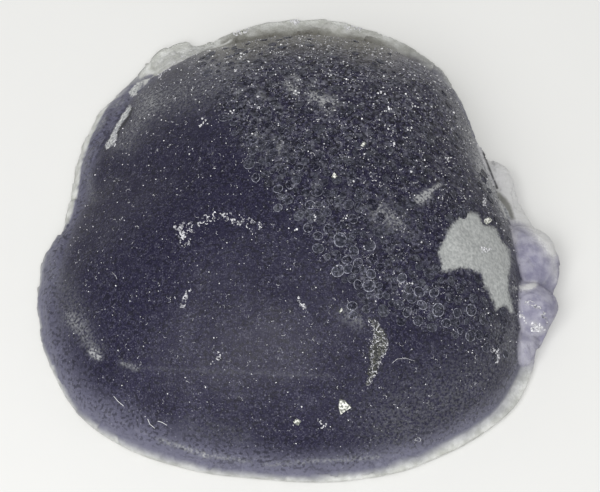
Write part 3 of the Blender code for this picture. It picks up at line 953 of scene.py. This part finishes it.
def plan_of(place):
    """The plan millimetres under a point of the frame."""
    return place.x / MM + PLAN_MIDDLE[0], place.y / MM + PLAN_MIDDLE[1]


def standing(place, normal, rng, lean=0.0):
    """A matrix that stands something upright on the skin, turned and leaning at random."""
    tipped = (normal + Vector([rng.gauss(0, lean) for _ in range(3)])).normalized()
    turned = Matrix.Rotation(rng.uniform(0, math.tau), 4, "Z")
    return Matrix.Translation(place) @ tipped.to_track_quat("Z", "Y").to_matrix().to_4x4() @ turned


def many_copies(name, shapes, shape_faces, matrices):
    """One mesh of a shape copied by each matrix. Shapes is one set of corners or one to each copy."""
    count = len(matrices)
    shapes = np.broadcast_to(np.asarray(shapes, float), (count, *np.asarray(shapes).shape[-2:]))
    placed = np.array([np.array(m) for m in matrices])
    corners = np.einsum("cij,cpj->cpi", placed[:, :3, :3], shapes) + placed[:, None, :3, 3]
    per_copy = shapes.shape[1]
    all_faces = [[i + per_copy * copy for i in face] for copy in range(count) for face in shape_faces]
    return mesh_from(name, corners.reshape(-1, 3), all_faces)


def joined(name, parts):
    """One mesh of several lumps, each given by its corners and its faces."""
    corners, all_faces = [], []
    for lump, lump_faces in parts:
        all_faces += [[i + len(corners) for i in face] for face in lump_faces]
        corners += [tuple(corner) for corner in lump]
    return mesh_from(name, corners, all_faces)


print("helpers for copies ready")

# %% [markdown]
# ## Blisters
# The blisters are flat-topped discs of later fluorite, one to two millimetres across, that overlap
# like coins. They end at a line from the back left to the front right. Those that stand out are
# placed by the picture, the model's own stand beside them a little smaller, and finer ones fill the
# zone. Each is a low drum with a rounded rim, because light catches on the rim as a thin bright
# ring, which is what the eye sees first. The material also paints that ring in as a lighter colour:
# a painted highlight on the rim.

# %% Where the blisters stand
BLISTER_COUNT = 115
BLISTER_RADIUS = (0.65, 1.15)
BLISTER_REACH = 0.93  # furthest out, as a share of the way to the shoulder
BLISTER_SPACING = 0.98  # least distance between two, as a share of their radii added
BLISTER_FADE = 12.0  # beyond the border, the model's own thin out over about this distance
BLISTER_SEED = 11
OWN_SHRINK = 0.72
FILL_TRIES = 6000
FILL_CLOSENESS = 0.80
FILL_RADIUS = (0.40, 0.74)
FILL_BORDER = (-0.5, 1.5)  # distances from the border between which they set in
CLEAR_BAND, CLEAR_SHARE = (3.5, 12.0), 0.92  # where they thin out again, and by how much
FINE_BAND, FINE_SHRINK, FINE_FEWER = (0.0, 16.0), 0.4, 0.8  # finer and fewer towards the back
LARGE_CHANCE, LARGE_GROWTH = 0.08, 1.5
PATCH_MARGIN = 3.0  # pixels round the pale patches that stay free
CLEAR_DISCS = [  # middle and radius in the picture of the discs that stand out
    (256, 178, 5), (290, 185, 5), (278, 189, 5), (278, 208, 4.5), (310, 205, 5), (308, 228, 5),
    (328, 229, 5), (318, 236, 5), (340, 240, 7.5), (354, 251, 5), (327, 257, 3.5), (347, 260, 5),
    (348, 269, 5), (338, 271, 6.5), (358, 263, 5), (371, 274, 5), (358, 285, 5), (369, 286, 6.5),
    (369, 245, 7), (352, 306, 5), (353, 315, 4.5), (407, 312, 5), (402, 278, 5), (408, 289, 5),
    (419, 292, 5.5), (434, 293, 5), (422, 305, 5), (438, 310, 7), (446, 323, 5), (457, 313, 5),
    (471, 310, 6.5), (470, 336, 6), (460, 331, 3.5), (505, 354, 4.5),
]
CLEAR_SHINE, PLAIN_SHINE, FAINT_SHINE = 0.50, 0.27, 0.10  # how bright a rim's painted highlight is


def random_place(rng, furthest=BLISTER_REACH):
    """A plan point on the dome, evenly spread over the plan."""
    angle = rng.uniform(0, math.tau)
    distance = float(shoulder_reach(angle)) * furthest * math.sqrt(rng.random())
    return APEX[0] + distance * math.cos(angle), APEX[1] + distance * math.sin(angle)


def main_blisters(rng):
    """The blisters that the model has too."""
    placed = []
    while len(placed) < BLISTER_COUNT:
        x, y = random_place(rng)
        radius = rng.uniform(*BLISTER_RADIUS)
        across = float(beyond_line(x, y))
        if across < 0 or rng.random() > math.exp(-across / BLISTER_FADE):
            continue
        if all(math.hypot(x - a, y - b) > BLISTER_SPACING * (radius + r) for a, b, r in placed):
            placed.append((x, y, radius))
    return placed


def on_patch(place):
    """Whether a point of the skin lies on one of the pale patches or close to it."""
    seen = to_picture(np.array([place]))
    return max(inside_distance(seen, outline)[0] for outline in PATCHES_PIXELS) > -PATCH_MARGIN


def clear_blisters():
    """The discs that stand out in the picture, each over the place where it shows."""
    rows = []
    for px, py, radius in CLEAR_DISCS:
        place, _ = under_pixel((px, py))
        rows.append((*plan_of(place), radius * PIXEL / MM, CLEAR_SHINE))
    return rows


def has_room(x, y, radius, rows):
    """Whether a blister overlaps none of the others by much, and lies on no pale patch."""
    near = np.array(rows)
    apart = np.hypot(near[:, 0] - x, near[:, 1] - y) > FILL_CLOSENESS * (near[:, 2] + radius)
    return apart.all() and not on_patch(on_skin(x, y)[0])


def all_blisters(rng):
    """The discs that stand out, the main blisters beside them, and smaller ones that fill the zone."""
    rows = clear_blisters()
    for x, y, radius in main_blisters(random.Random(BLISTER_SEED)):
        if has_room(x, y, OWN_SHRINK * radius, rows):
            rows.append((x, y, OWN_SHRINK * radius, rng.choice((FAINT_SHINE, PLAIN_SHINE))))
    for _ in range(FILL_TRIES):
        x, y = random_place(rng)
        across = float(beyond_line(x, y))
        fine = float(eased(y, *FINE_BAND))
        thinned = 1 - CLEAR_SHARE * float(eased(across, *CLEAR_BAND))
        if rng.random() > float(eased(across, *FILL_BORDER)) * thinned * (1 - FINE_FEWER * fine):
            continue
        radius = rng.uniform(*FILL_RADIUS) * (1 - FINE_SHRINK * fine)
        radius *= LARGE_GROWTH if rng.random() < LARGE_CHANCE else 1
        if has_room(x, y, radius, rows):
            rows.append((x, y, radius, rng.uniform(FAINT_SHINE, PLAIN_SHINE)))
    return rows


blisters = all_blisters(random.Random(BLISTER_SEED + 1))
print("blisters:", len(blisters))

# %% Build the blisters as one mesh
DRUM_SIDES = 13
DRUM_RINGS = [  # radius, height, and how much the ring is rim, which carries the painted highlight
    (1.0, -0.45, 0.0), (1.0, 0.05, 0.1), (0.98, 0.09, 1.0), (0.91, 0.10, 0.9), (0.86, 0.10, 0.0),
]
DRUM_TOP = 0.11
OUT_OF_ROUND, TALLNESS = (0.85, 1.15), (0.6, 1.3)
BLISTER_LEAN = 0.04
BLISTER_SHAPE_SEED = 23
RIM_FADED = 0.8  # how much duller a rim's painted highlight is far from the border


def drum():
    """Corners and faces of a low drum one millimetre in radius, and how much each corner is rim."""
    turns = np.arange(DRUM_SIDES) * math.tau / DRUM_SIDES
    corners, rim, drum_faces = [], [], [list(range(DRUM_SIDES))[::-1]]
    for radius, height, share in DRUM_RINGS:
        corners += [(radius * math.cos(t), radius * math.sin(t), height) for t in turns]
        rim += [share] * DRUM_SIDES
    for level in range(len(DRUM_RINGS) - 1):
        for i in range(DRUM_SIDES):
            a, b = level * DRUM_SIDES + i, level * DRUM_SIDES + (i + 1) % DRUM_SIDES
            drum_faces.append([a, b, b + DRUM_SIDES, a + DRUM_SIDES])
    last = (len(DRUM_RINGS) - 1) * DRUM_SIDES
    corners.append((0, 0, DRUM_TOP))
    rim.append(0.0)
    for i in range(DRUM_SIDES):
        drum_faces.append([last + i, last + (i + 1) % DRUM_SIDES, len(corners) - 1])
    return np.array(corners), drum_faces, np.array(rim)


def blister_mesh(rng):
    shape, shape_faces, rim = drum()
    matrices, shapes, rims, tones = [], [], [], []
    for x, y, radius, shine in blisters:
        place, normal = on_skin(x, y)
        round_off = rng.uniform(*OUT_OF_ROUND)
        size = np.array([radius * round_off, radius / round_off, rng.uniform(*TALLNESS)])
        shapes.append(shape * size * MM)
        matrices.append(standing(place, normal, rng, BLISTER_LEAN))
        faded = 1 - RIM_FADED * float(eased(float(beyond_line(x, y)), *CLEAR_BAND))
        rims.append(rim * shine * (1 if shine == CLEAR_SHINE else faded))
        tones.append(np.full(len(shape), rng.random()))
    mesh = many_copies("blisters", np.array(shapes), shape_faces, matrices)
    mesh.shade_smooth()
    mesh.set_sharp_from_angle(angle=math.radians(50))
    store(mesh, "rim", np.concatenate(rims))
    store(mesh, "tone", np.concatenate(tones))
    return mesh


print("corners of a drum:", len(drum()[0]))

# %% The blisters' material
BLISTER_DARK = (0.005, 0.005, 0.014, 1), (0.031, 0.033, 0.046, 1)
BLISTER_FROST = 0.22  # how coarse their frost is
# colour of the painted highlight on the rims
RIM_HIGHLIGHT = (0.64, 0.65, 0.76, 1)


def blister_fluorite():
    """The body's dark fluorite, with a painted highlight on the rims. Under them the stone is too deep to
    see into.
    """
    material, tree, shader, _ = new_material("blister_fluorite")
    skin = frosting(tree, mixed(tree, number(tree, "tone"), *BLISTER_DARK), BLISTER_FROST)
    broken_up = puffs(tree, 0.00035, 2.0, 1.7, 0.34, 0.62)
    # where the painted highlight lies: the rim share, broken up
    rim = maths(tree, "MULTIPLY", number(tree, "rim"), broken_up, clamp=True)
    plug(tree, shader, {
        "Base Color": mixed(tree, rim, skin, RIM_HIGHLIGHT),
        "Roughness": maths(tree, "MULTIPLY_ADD", clouds(tree, 0.0007, 3.0, 0.2), 0.15, 0.38),
        "IOR": FLUORITE_IOR,
        "Specular IOR Level": 0.18,
        "Normal": bump(tree, clouds(tree, 0.00028), 0.00008, 0.8),
    })
    return material


blister_piece = add_piece("blisters", blister_mesh(random.Random(BLISTER_SHAPE_SEED)), blister_fluorite())
print("blister faces:", len(blister_piece.data.polygons))

# %% [markdown]
# ## White grains and crusts
# Tiny white crystals are scattered over the skin, densest among the blisters and along the top. In a
# few places they grow together into crusts: an arched chain left of the middle, a streak near the
# front right, and short ones along the chipped corner, on the rim and on the lobes. Each grain is a
# small irregular block, and a crust is a heap of little curls of them.

# %% Shapes of grains
BLOCK_UNEVEN = 0.13  # how far a block's corners stray, as a share of its width
GRAIN_STRETCH = (0.7, 1.3)
GRAIN_LIFT = 0.15  # how far a grain's middle stands off the skin, as a share of its size


def block_shapes(count, rng):
    """Corners of so many irregular blocks, one millimetre across, and the faces that they share."""
    cube = np.array([(i, j, k) for i in (-1, 1) for j in (-1, 1) for k in (-1, 1)], float) / 2
    block_faces = [[0, 1, 3, 2], [4, 6, 7, 5], [0, 4, 5, 1], [2, 3, 7, 6], [0, 2, 6, 4], [1, 5, 7, 3]]
    spread = np.array([rng.gauss(0, BLOCK_UNEVEN) for _ in range(count * cube.size)])
    return cube + spread.reshape(count, *cube.shape), block_faces


def grains_mesh(name, spots, rng):
    """Blocks at (place, normal, size in millimetres, tone), tumbled and half sunk into the skin."""
    shapes, block_faces = block_shapes(len(spots), rng)
    matrices = []
    for place, normal, size, _ in spots:
        about_x = Matrix.Rotation(rng.uniform(0, math.tau), 4, "X")
        tumble = about_x @ Matrix.Rotation(rng.uniform(0, math.tau), 4, "Y")
        scale = Matrix.Diagonal((*[size * MM * rng.uniform(*GRAIN_STRETCH) for _ in range(3)], 1))
        matrices.append(Matrix.Translation(place + normal * size * MM * GRAIN_LIFT) @ tumble @ scale)
    mesh = many_copies(name, shapes, block_faces, matrices)
    store(mesh, "tone", np.repeat([spot[3] for spot in spots], shapes.shape[1]))
    return mesh


print("faces of a grain:", len(block_shapes(1, random.Random(0))[1]))

# %% Scatter the frost grains
FROST_GRAINS = 4000
FROST_SEED = 5
FROST_REACH = 0.98  # furthest out, as a share of the way to the shoulder
LEAST_WANTED = 0.13  # the chance of a grain on the plain dark skin
AMONG_BLISTERS, AT_THE_BACK = 0.32, 0.30  # what is added to that chance
BACK_BAND = (5, 25)
FROST_SIZE, LARGE_SIZE = (0.06, 0.12), (0.13, 0.24)
LARGE_SHARE = 0.035
GLINT_PIXELS = [  # places of the brightest clusters in the picture
    (362, 145), (402, 154), (448, 158), (329, 75), (350, 102), (379, 92), (385, 97), (389, 108),
    (385, 62), (390, 65), (438, 98), (456, 127), (296, 93), (204, 121), (200, 126), (312, 204), (305, 60),
    (374, 103), (416, 108), (347, 216), (299, 231), (315, 218), (371, 256), (401, 290), (409, 283),
    (192, 150), (258, 108), (240, 58), (275, 72), (330, 60), (345, 84), (410, 130), (430, 140),
    (385, 128), (360, 120), (395, 145), (470, 185), (462, 190), (425, 160), (232, 112), (222, 80),
]
GLINT_GRAINS, GLINT_SPREAD, GLINT_SIZE = (1, 5), 1.5, (0.10, 0.19)
GRAIN_WHITE = (0.09, 0.09, 0.12, 1), (0.93, 0.93, 0.95, 1)


def frost_spots(rng):
    """Spots for grains: even on the dome, more among the blisters and most towards the back."""
    spots = []
    while len(spots) < FROST_GRAINS:
        x, y = random_place(rng, FROST_REACH)
        wanted = LEAST_WANTED + AMONG_BLISTERS * (beyond_line(x, y) > 0)
        wanted += AT_THE_BACK * float(eased(y, *BACK_BAND))
        place, normal = on_skin(x, y)
        if rng.random() > wanted or on_patch(place):
            continue
        large = rng.random() < LARGE_SHARE * wanted * wanted
        size = rng.uniform(*(LARGE_SIZE if large else FROST_SIZE))
        tone = rng.uniform(0.5, 1.0) if large else rng.random() ** 2
        spots.append((place, normal, size, tone))
    for px, py in GLINT_PIXELS:
        for _ in range(rng.randint(*GLINT_GRAINS)):
            place, normal = under_pixel((rng.gauss(px, GLINT_SPREAD), rng.gauss(py, GLINT_SPREAD)))
            spots.append((place, normal, rng.uniform(*GLINT_SIZE), rng.uniform(0.4, 1.0)))
    return spots


def white_grain():
    """White crystal, greyer where the stored tone is low, as where a grain is thin and clear."""
    material, tree, shader, _ = new_material("white_grain")
    plug(tree, shader, {
        "Base Color": mixed(tree, number(tree, "tone"), *GRAIN_WHITE),
        "Roughness": maths(tree, "MULTIPLY_ADD", clouds(tree, 0.0008), 0.2, 0.35),
        "Normal": bump(tree, clouds(tree, 0.0001, 1.0), 0.00002, 0.6),
    })
    return material


grain_material = white_grain()
rng = random.Random(FROST_SEED)
spots = frost_spots(rng)
add_piece("frost_grains", grains_mesh("frost_grains", spots, rng), grain_material)
print("frost grains:", len(spots))

# %% Crusts along lines in the picture
PLAIN_TONE, LIGHT_TONE = 0.10, 0.65  # the least tone of a grain on the dark dome and on the pale rim
CRUSTS = [  # line in the picture, half width in pixels, curls for each pixel, grain size, any least tone
    ([(180, 222), (179, 230), (184, 238), (188, 241)], 3.5, 0.70, 0.19),
    ([(184, 231), (192, 227), (200, 222), (212, 219), (222, 216)], 3.5, 0.42, 0.13),
    ([(222, 216), (236, 220), (248, 223), (261, 223)], 4.5, 0.50, 0.13),
    ([(370, 319), (378, 328), (386, 340), (386, 350), (379, 360), (377, 370), (368, 384)], 1.6,
     0.50, 0.10),
    ([(372, 324), (375, 336), (372, 348), (371, 360), (372, 372), (369, 380)], 1.8, 0.45, 0.10),
    ([(379, 334), (380, 350)], 3.0, 0.4, 0.09),
    ([(156, 76), (166, 70), (180, 60), (196, 50)], 2.0, 0.30, 0.10, LIGHT_TONE),
    ([(118, 128), (112, 140), (106, 148)], 2.0, 0.4, 0.11),
    ([(117, 140), (112, 146)], 1.0, 0.4, 0.15),
    ([(298, 297), (300, 302)], 0.8, 0.6, 0.14),
    ([(302, 304), (306, 309)], 0.8, 0.8, 0.17),
    ([(484, 196), (486, 200), (483, 203), (487, 204)], 1.0, 0.6, 0.14),
    ([(415, 441), (421, 439)], 1.2, 0.6, 0.13),
    ([(189, 290), (186, 299), (181, 308)], 1.2, 0.4, 0.15),
    ([(217, 349), (220, 357), (216, 363)], 2.0, 0.4, 0.12),
    ([(236, 34), (246, 30)], 1.5, 0.6, 0.18, LIGHT_TONE),
    ([(291, 22), (304, 20)], 1.5, 0.5, 0.18, LIGHT_TONE),
    ([(343, 27), (362, 30)], 2.0, 0.4, 0.16, LIGHT_TONE),
    ([(524, 302), (534, 304), (543, 314), (547, 324)], 2.0, 0.4, 0.15),
    ([(520, 312), (524, 322)], 2.0, 0.4, 0.18, LIGHT_TONE),
    ([(533, 325), (541, 329)], 2.5, 0.9, 0.22, LIGHT_TONE),
    ([(480, 249), (490, 252)], 3.0, 0.5, 0.14, LIGHT_TONE),
    ([(531, 330), (541, 328)], 2.5, 0.4, 0.20),
    ([(493, 349), (499, 357), (496, 361)], 2.0, 0.7, 0.18),
    ([(321, 420), (323, 424)], 1.5, 0.6, 0.14),
]
CURL_RADIUS, CURL_SPAN = (0.8, 2.6), (0.8, 3.0)  # in pixels and in radians
GRAIN_STEP = 1.0
GRAIN_SIZES, DULLEST = (0.4, 1.1), 0.4  # shares of the crust's size and of the curl's tone
CRUST_DENSITY = 1.7
LOOSE_CURLS, LOOSE_SIZE = 900, 0.07
CRUST_SEED = 31


def curl_spots(rng, middle, size, least_tone=PLAIN_TONE):
    """Spots for the grains of one curl: part of a small ring in the picture."""
    radius, turn = rng.uniform(*CURL_RADIUS), rng.uniform(0, math.tau)
    tone = rng.uniform(least_tone, 1.0)
    spots = []
    for _ in range(max(1, round(radius * rng.uniform(*CURL_SPAN) / GRAIN_STEP))):
        turn += GRAIN_STEP / radius
        pixel = (middle[0] + radius * math.cos(turn), middle[1] + radius * math.sin(turn))
        place, normal = under_pixel(pixel)
        if place is not None:
            grain_tone = tone * rng.uniform(max(DULLEST, least_tone), 1.0)
            spots.append((place, normal, size * rng.uniform(*GRAIN_SIZES), grain_tone))
    return spots


def crust_spots(rng, line, half_width, per_pixel, *size_and_tone):
    """Spots for the grains of one crust: curls strewn along its line."""
    spots = []
    for (ax, ay), (bx, by) in zip(line, line[1:]):
        count = max(1, round(CRUST_DENSITY * math.hypot(bx - ax, by - ay) * per_pixel))
        for i in range(count):
            t = (i + rng.random()) / count
            off_x, off_y = rng.gauss(0, half_width / 2), rng.gauss(0, half_width / 2)
            middle = (ax + (bx - ax) * t + off_x, ay + (by - ay) * t + off_y)
            spots += curl_spots(rng, middle, *size_and_tone)
    return spots


def loose_spots(rng):
    """Spots for the loose curls that are strewn over the dome."""
    spots = []
    for _ in range(LOOSE_CURLS):
        place, _ = on_skin(*random_place(rng))
        if not on_patch(place):
            spots += curl_spots(rng, to_picture(np.array([place]))[0], LOOSE_SIZE)
    return spots


rng = random.Random(CRUST_SEED)
spots = [spot for crust in CRUSTS for spot in crust_spots(rng, *crust)] + loose_spots(rng)
add_piece("crust_grains", grains_mesh("crust_grains", spots, rng), grain_material)
print("crust grains:", len(spots))

# %% [markdown]
# ## White crystals
# A few single crystals are large enough to show their shape: a broken white triangle near the front,
# a smaller block beside it, one at the top of the pale patch, and more among the blisters and on the
# rim. Each is a low faceted lump over a few places in the picture, raised from the skin, with its
# foot sunk in.

# %% Single crystals
CRYSTALS = [  # outline in the picture and height in millimetres
    ([(339, 398), (345, 400), (352, 407), (346, 411), (340, 416), (338, 407)], 0.55),
    ([(293, 421), (297, 418), (302, 421), (299, 425), (294, 424)], 0.35),
    ([(484, 219), (488, 217), (491, 221), (487, 225), (484, 223)], 0.40),
    ([(331, 178), (334, 172), (338, 177), (335, 179)], 0.30),
    ([(338, 312), (342, 307), (343, 310), (340, 314)], 0.25),
    ([(360, 146), (363, 142), (367, 144), (363, 148)], 0.30),
    ([(240, 32), (244, 31), (243, 35), (240, 35)], 0.30),
]
FOOT_DEPTH = 0.3
RING_INSET, RING_RISE, TOP_RISE = (0.12, 0.3), (0.5, 1.0), (0.8, 1.2)
CRYSTAL_SEED = 7
CRYSTAL_WHITE = (0.14, 0.15, 0.13, 1), (0.86, 0.86, 0.80, 1)


def crystal_parts(outline, height, rng):
    """Corners and faces of one faceted lump: a sunk foot, a raised ring set in a little, and a top."""
    spots = [under_pixel(pixel) for pixel in outline]
    middle = sum((place for place, _ in spots), Vector()) / len(spots)
    corners = [place - normal * FOOT_DEPTH * MM for place, normal in spots]
    for place, normal in spots:
        inset = place.lerp(middle, rng.uniform(*RING_INSET))
        corners.append(inset + normal * height * MM * rng.uniform(*RING_RISE))
    upright = spots[0][1]
    corners.append(middle + upright * height * MM * rng.uniform(*TOP_RISE))
    n = len(spots)
    lump_faces = [list(range(n))[::-1]]
    for i in range(n):
        j = (i + 1) % n
        lump_faces.append([i, j, n + j, n + i])
        lump_faces.append([n + i, n + j, 2 * n])
    return corners, lump_faces


def white_crystal():
    """Broken white crystal: bright faces with darker clefts between them."""
    material, tree, shader, _ = new_material("white_crystal")
    tone = clouds(tree, 0.0003, 3.0)
    plug(tree, shader, {
        "Base Color": mixed(tree, step_up(tree, tone, 0.40, 0.62), *CRYSTAL_WHITE),
        "Roughness": maths(tree, "MULTIPLY_ADD", tone, 0.3, 0.25),
        "Normal": bump(tree, clouds(tree, 0.00025, 3.0), 0.0002, 0.9),
    })
    return material


rng = random.Random(CRYSTAL_SEED)
lumps = [crystal_parts(outline[::-1], height, rng) for outline, height in CRYSTALS]
add_piece("white_crystals", joined("white_crystals", lumps), white_crystal())
print("crystals:", len(CRYSTALS))

# %% [markdown]
# ## Lint
# A few fibres of lint lie on the front of the dome. A fibre is a tube a few hundredths of a
# millimetre thick that follows places in the picture, held just off the skin.

# %% Fibres of lint
THICK_LINT, THIN_LINT = 0.040, 0.018
LINT = [  # radius in millimetres, and places in the picture
    (THICK_LINT, [(114, 396), (118, 401), (124, 406)]),
    (THICK_LINT, [(148, 419), (150, 424), (155, 428)]),
    (THICK_LINT, [(158, 421), (162, 422), (167, 425)]),
    (THIN_LINT, [(392, 363), (397, 359), (405, 358), (415, 361)]),
    (THIN_LINT, [(112, 272), (116, 276), (117, 279)]),
]
LINT_SIDES = 5
LINT_GREY = (0.60, 0.60, 0.62, 1), (0.92, 0.92, 0.93, 1)


def fibre_parts(radius, line):
    """Corners and faces of a thin closed tube that follows the skin along a line in the picture."""
    spots = [under_pixel(pixel) for pixel in line]
    points = [place + normal * 2 * radius * MM for place, normal in spots]
    corners = []
    for i, (point, (_, normal)) in enumerate(zip(points, spots)):
        along = (points[min(i + 1, len(points) - 1)] - points[max(i - 1, 0)]).normalized()
        across = along.cross(normal).normalized()
        upward = across.cross(along)
        for k in range(LINT_SIDES):
            turn = k * math.tau / LINT_SIDES
            corners.append(point + (across * math.cos(turn) + upward * math.sin(turn)) * radius * MM)
    tube_faces = [list(range(LINT_SIDES)), list(range(len(corners) - LINT_SIDES, len(corners)))[::-1]]
    for i in range(len(points) - 1):
        for k in range(LINT_SIDES):
            a, b = i * LINT_SIDES + k, i * LINT_SIDES + (k + 1) % LINT_SIDES
            tube_faces.append([a, a + LINT_SIDES, b + LINT_SIDES, b])
    return corners, tube_faces


def lint_fibre():
    material, tree, shader, _ = new_material("lint_fibre")
    plug(tree, shader, {"Base Color": mixed(tree, clouds(tree, 0.0006), *LINT_GREY), "Roughness": 0.7})
    return material


lint = joined("lint", [fibre_parts(radius, line) for radius, line in LINT])
lint.shade_smooth()
add_piece("lint", lint, lint_fibre())
print("fibres:", len(LINT))

# %% [markdown]
# ## Floor and light
# The photograph was taken in a white tent: a pale ground, light from everywhere and hardly any
# shadow, not even at the foot of the stone. A pale world does most of that. The floor glows a little
# too, like a sheet lit from below, which keeps its contact with the stone light and lets the thin
# edge shine. One soft light at the front left makes the ground brighter there than at the back.

# %% The floor, the world and the light
FLOOR_SIZE = 6.0
PAPER = (0.50, 0.50, 0.49, 1), (0.4925, 0.4925, 0.48265, 1)  # the paper and its slightly darker fibre
FLOOR_GLOW = 0.27
GLOW_COLOUR = (1.0, 1.0, 0.98, 1)
WORLD_COLOUR = (1.0, 1.0, 0.99, 1)
WORLD_STRENGTH = 0.63
LIGHT_PLACE = (-0.08, -0.20, 0.29)
LIGHT_SIZE = 0.25
LIGHT_POWER = 1.10


def pale_floor():
    half = FLOOR_SIZE / 2
    corners = [(-half, -half, 0), (half, -half, 0), (half, half, 0), (-half, half, 0)]
    mesh = mesh_from("floor", corners, [[0, 1, 2, 3]])
    material, tree, shader, _ = new_material("pale_paper")
    plug(tree, shader, {
        "Base Color": mixed(tree, clouds(tree, 0.004), *PAPER),
        "Roughness": 0.8,
        "Specular IOR Level": 0.2,
        "Emission Color": GLOW_COLOUR,
        "Emission Strength": FLOOR_GLOW,
    })
    mesh.materials.append(material)
    floor = bpy.data.objects.new("floor", mesh)
    bpy.context.scene.collection.objects.link(floor)


def soft_light():
    data = bpy.data.lights.new("soft_light", "AREA")
    data.size = LIGHT_SIZE
    data.energy = LIGHT_POWER
    light = bpy.data.objects.new("soft_light", data)
    light.location = LIGHT_PLACE
    light.rotation_mode = "QUATERNION"
    light.rotation_quaternion = (-Vector(LIGHT_PLACE)).to_track_quat("-Z", "Y")
    bpy.context.scene.collection.objects.link(light)


pale_floor()
soft_light()
world = bpy.data.worlds.new("white_tent")
world.use_nodes = True
world.node_tree.nodes["Background"].inputs["Color"].default_value = WORLD_COLOUR
world.node_tree.nodes["Background"].inputs["Strength"].default_value = WORLD_STRENGTH
bpy.context.scene.world = world
bpy.context.scene.view_settings.view_transform = "Standard"
print("floor side in metres:", FLOOR_SIZE, "light power in watts:", LIGHT_POWER)
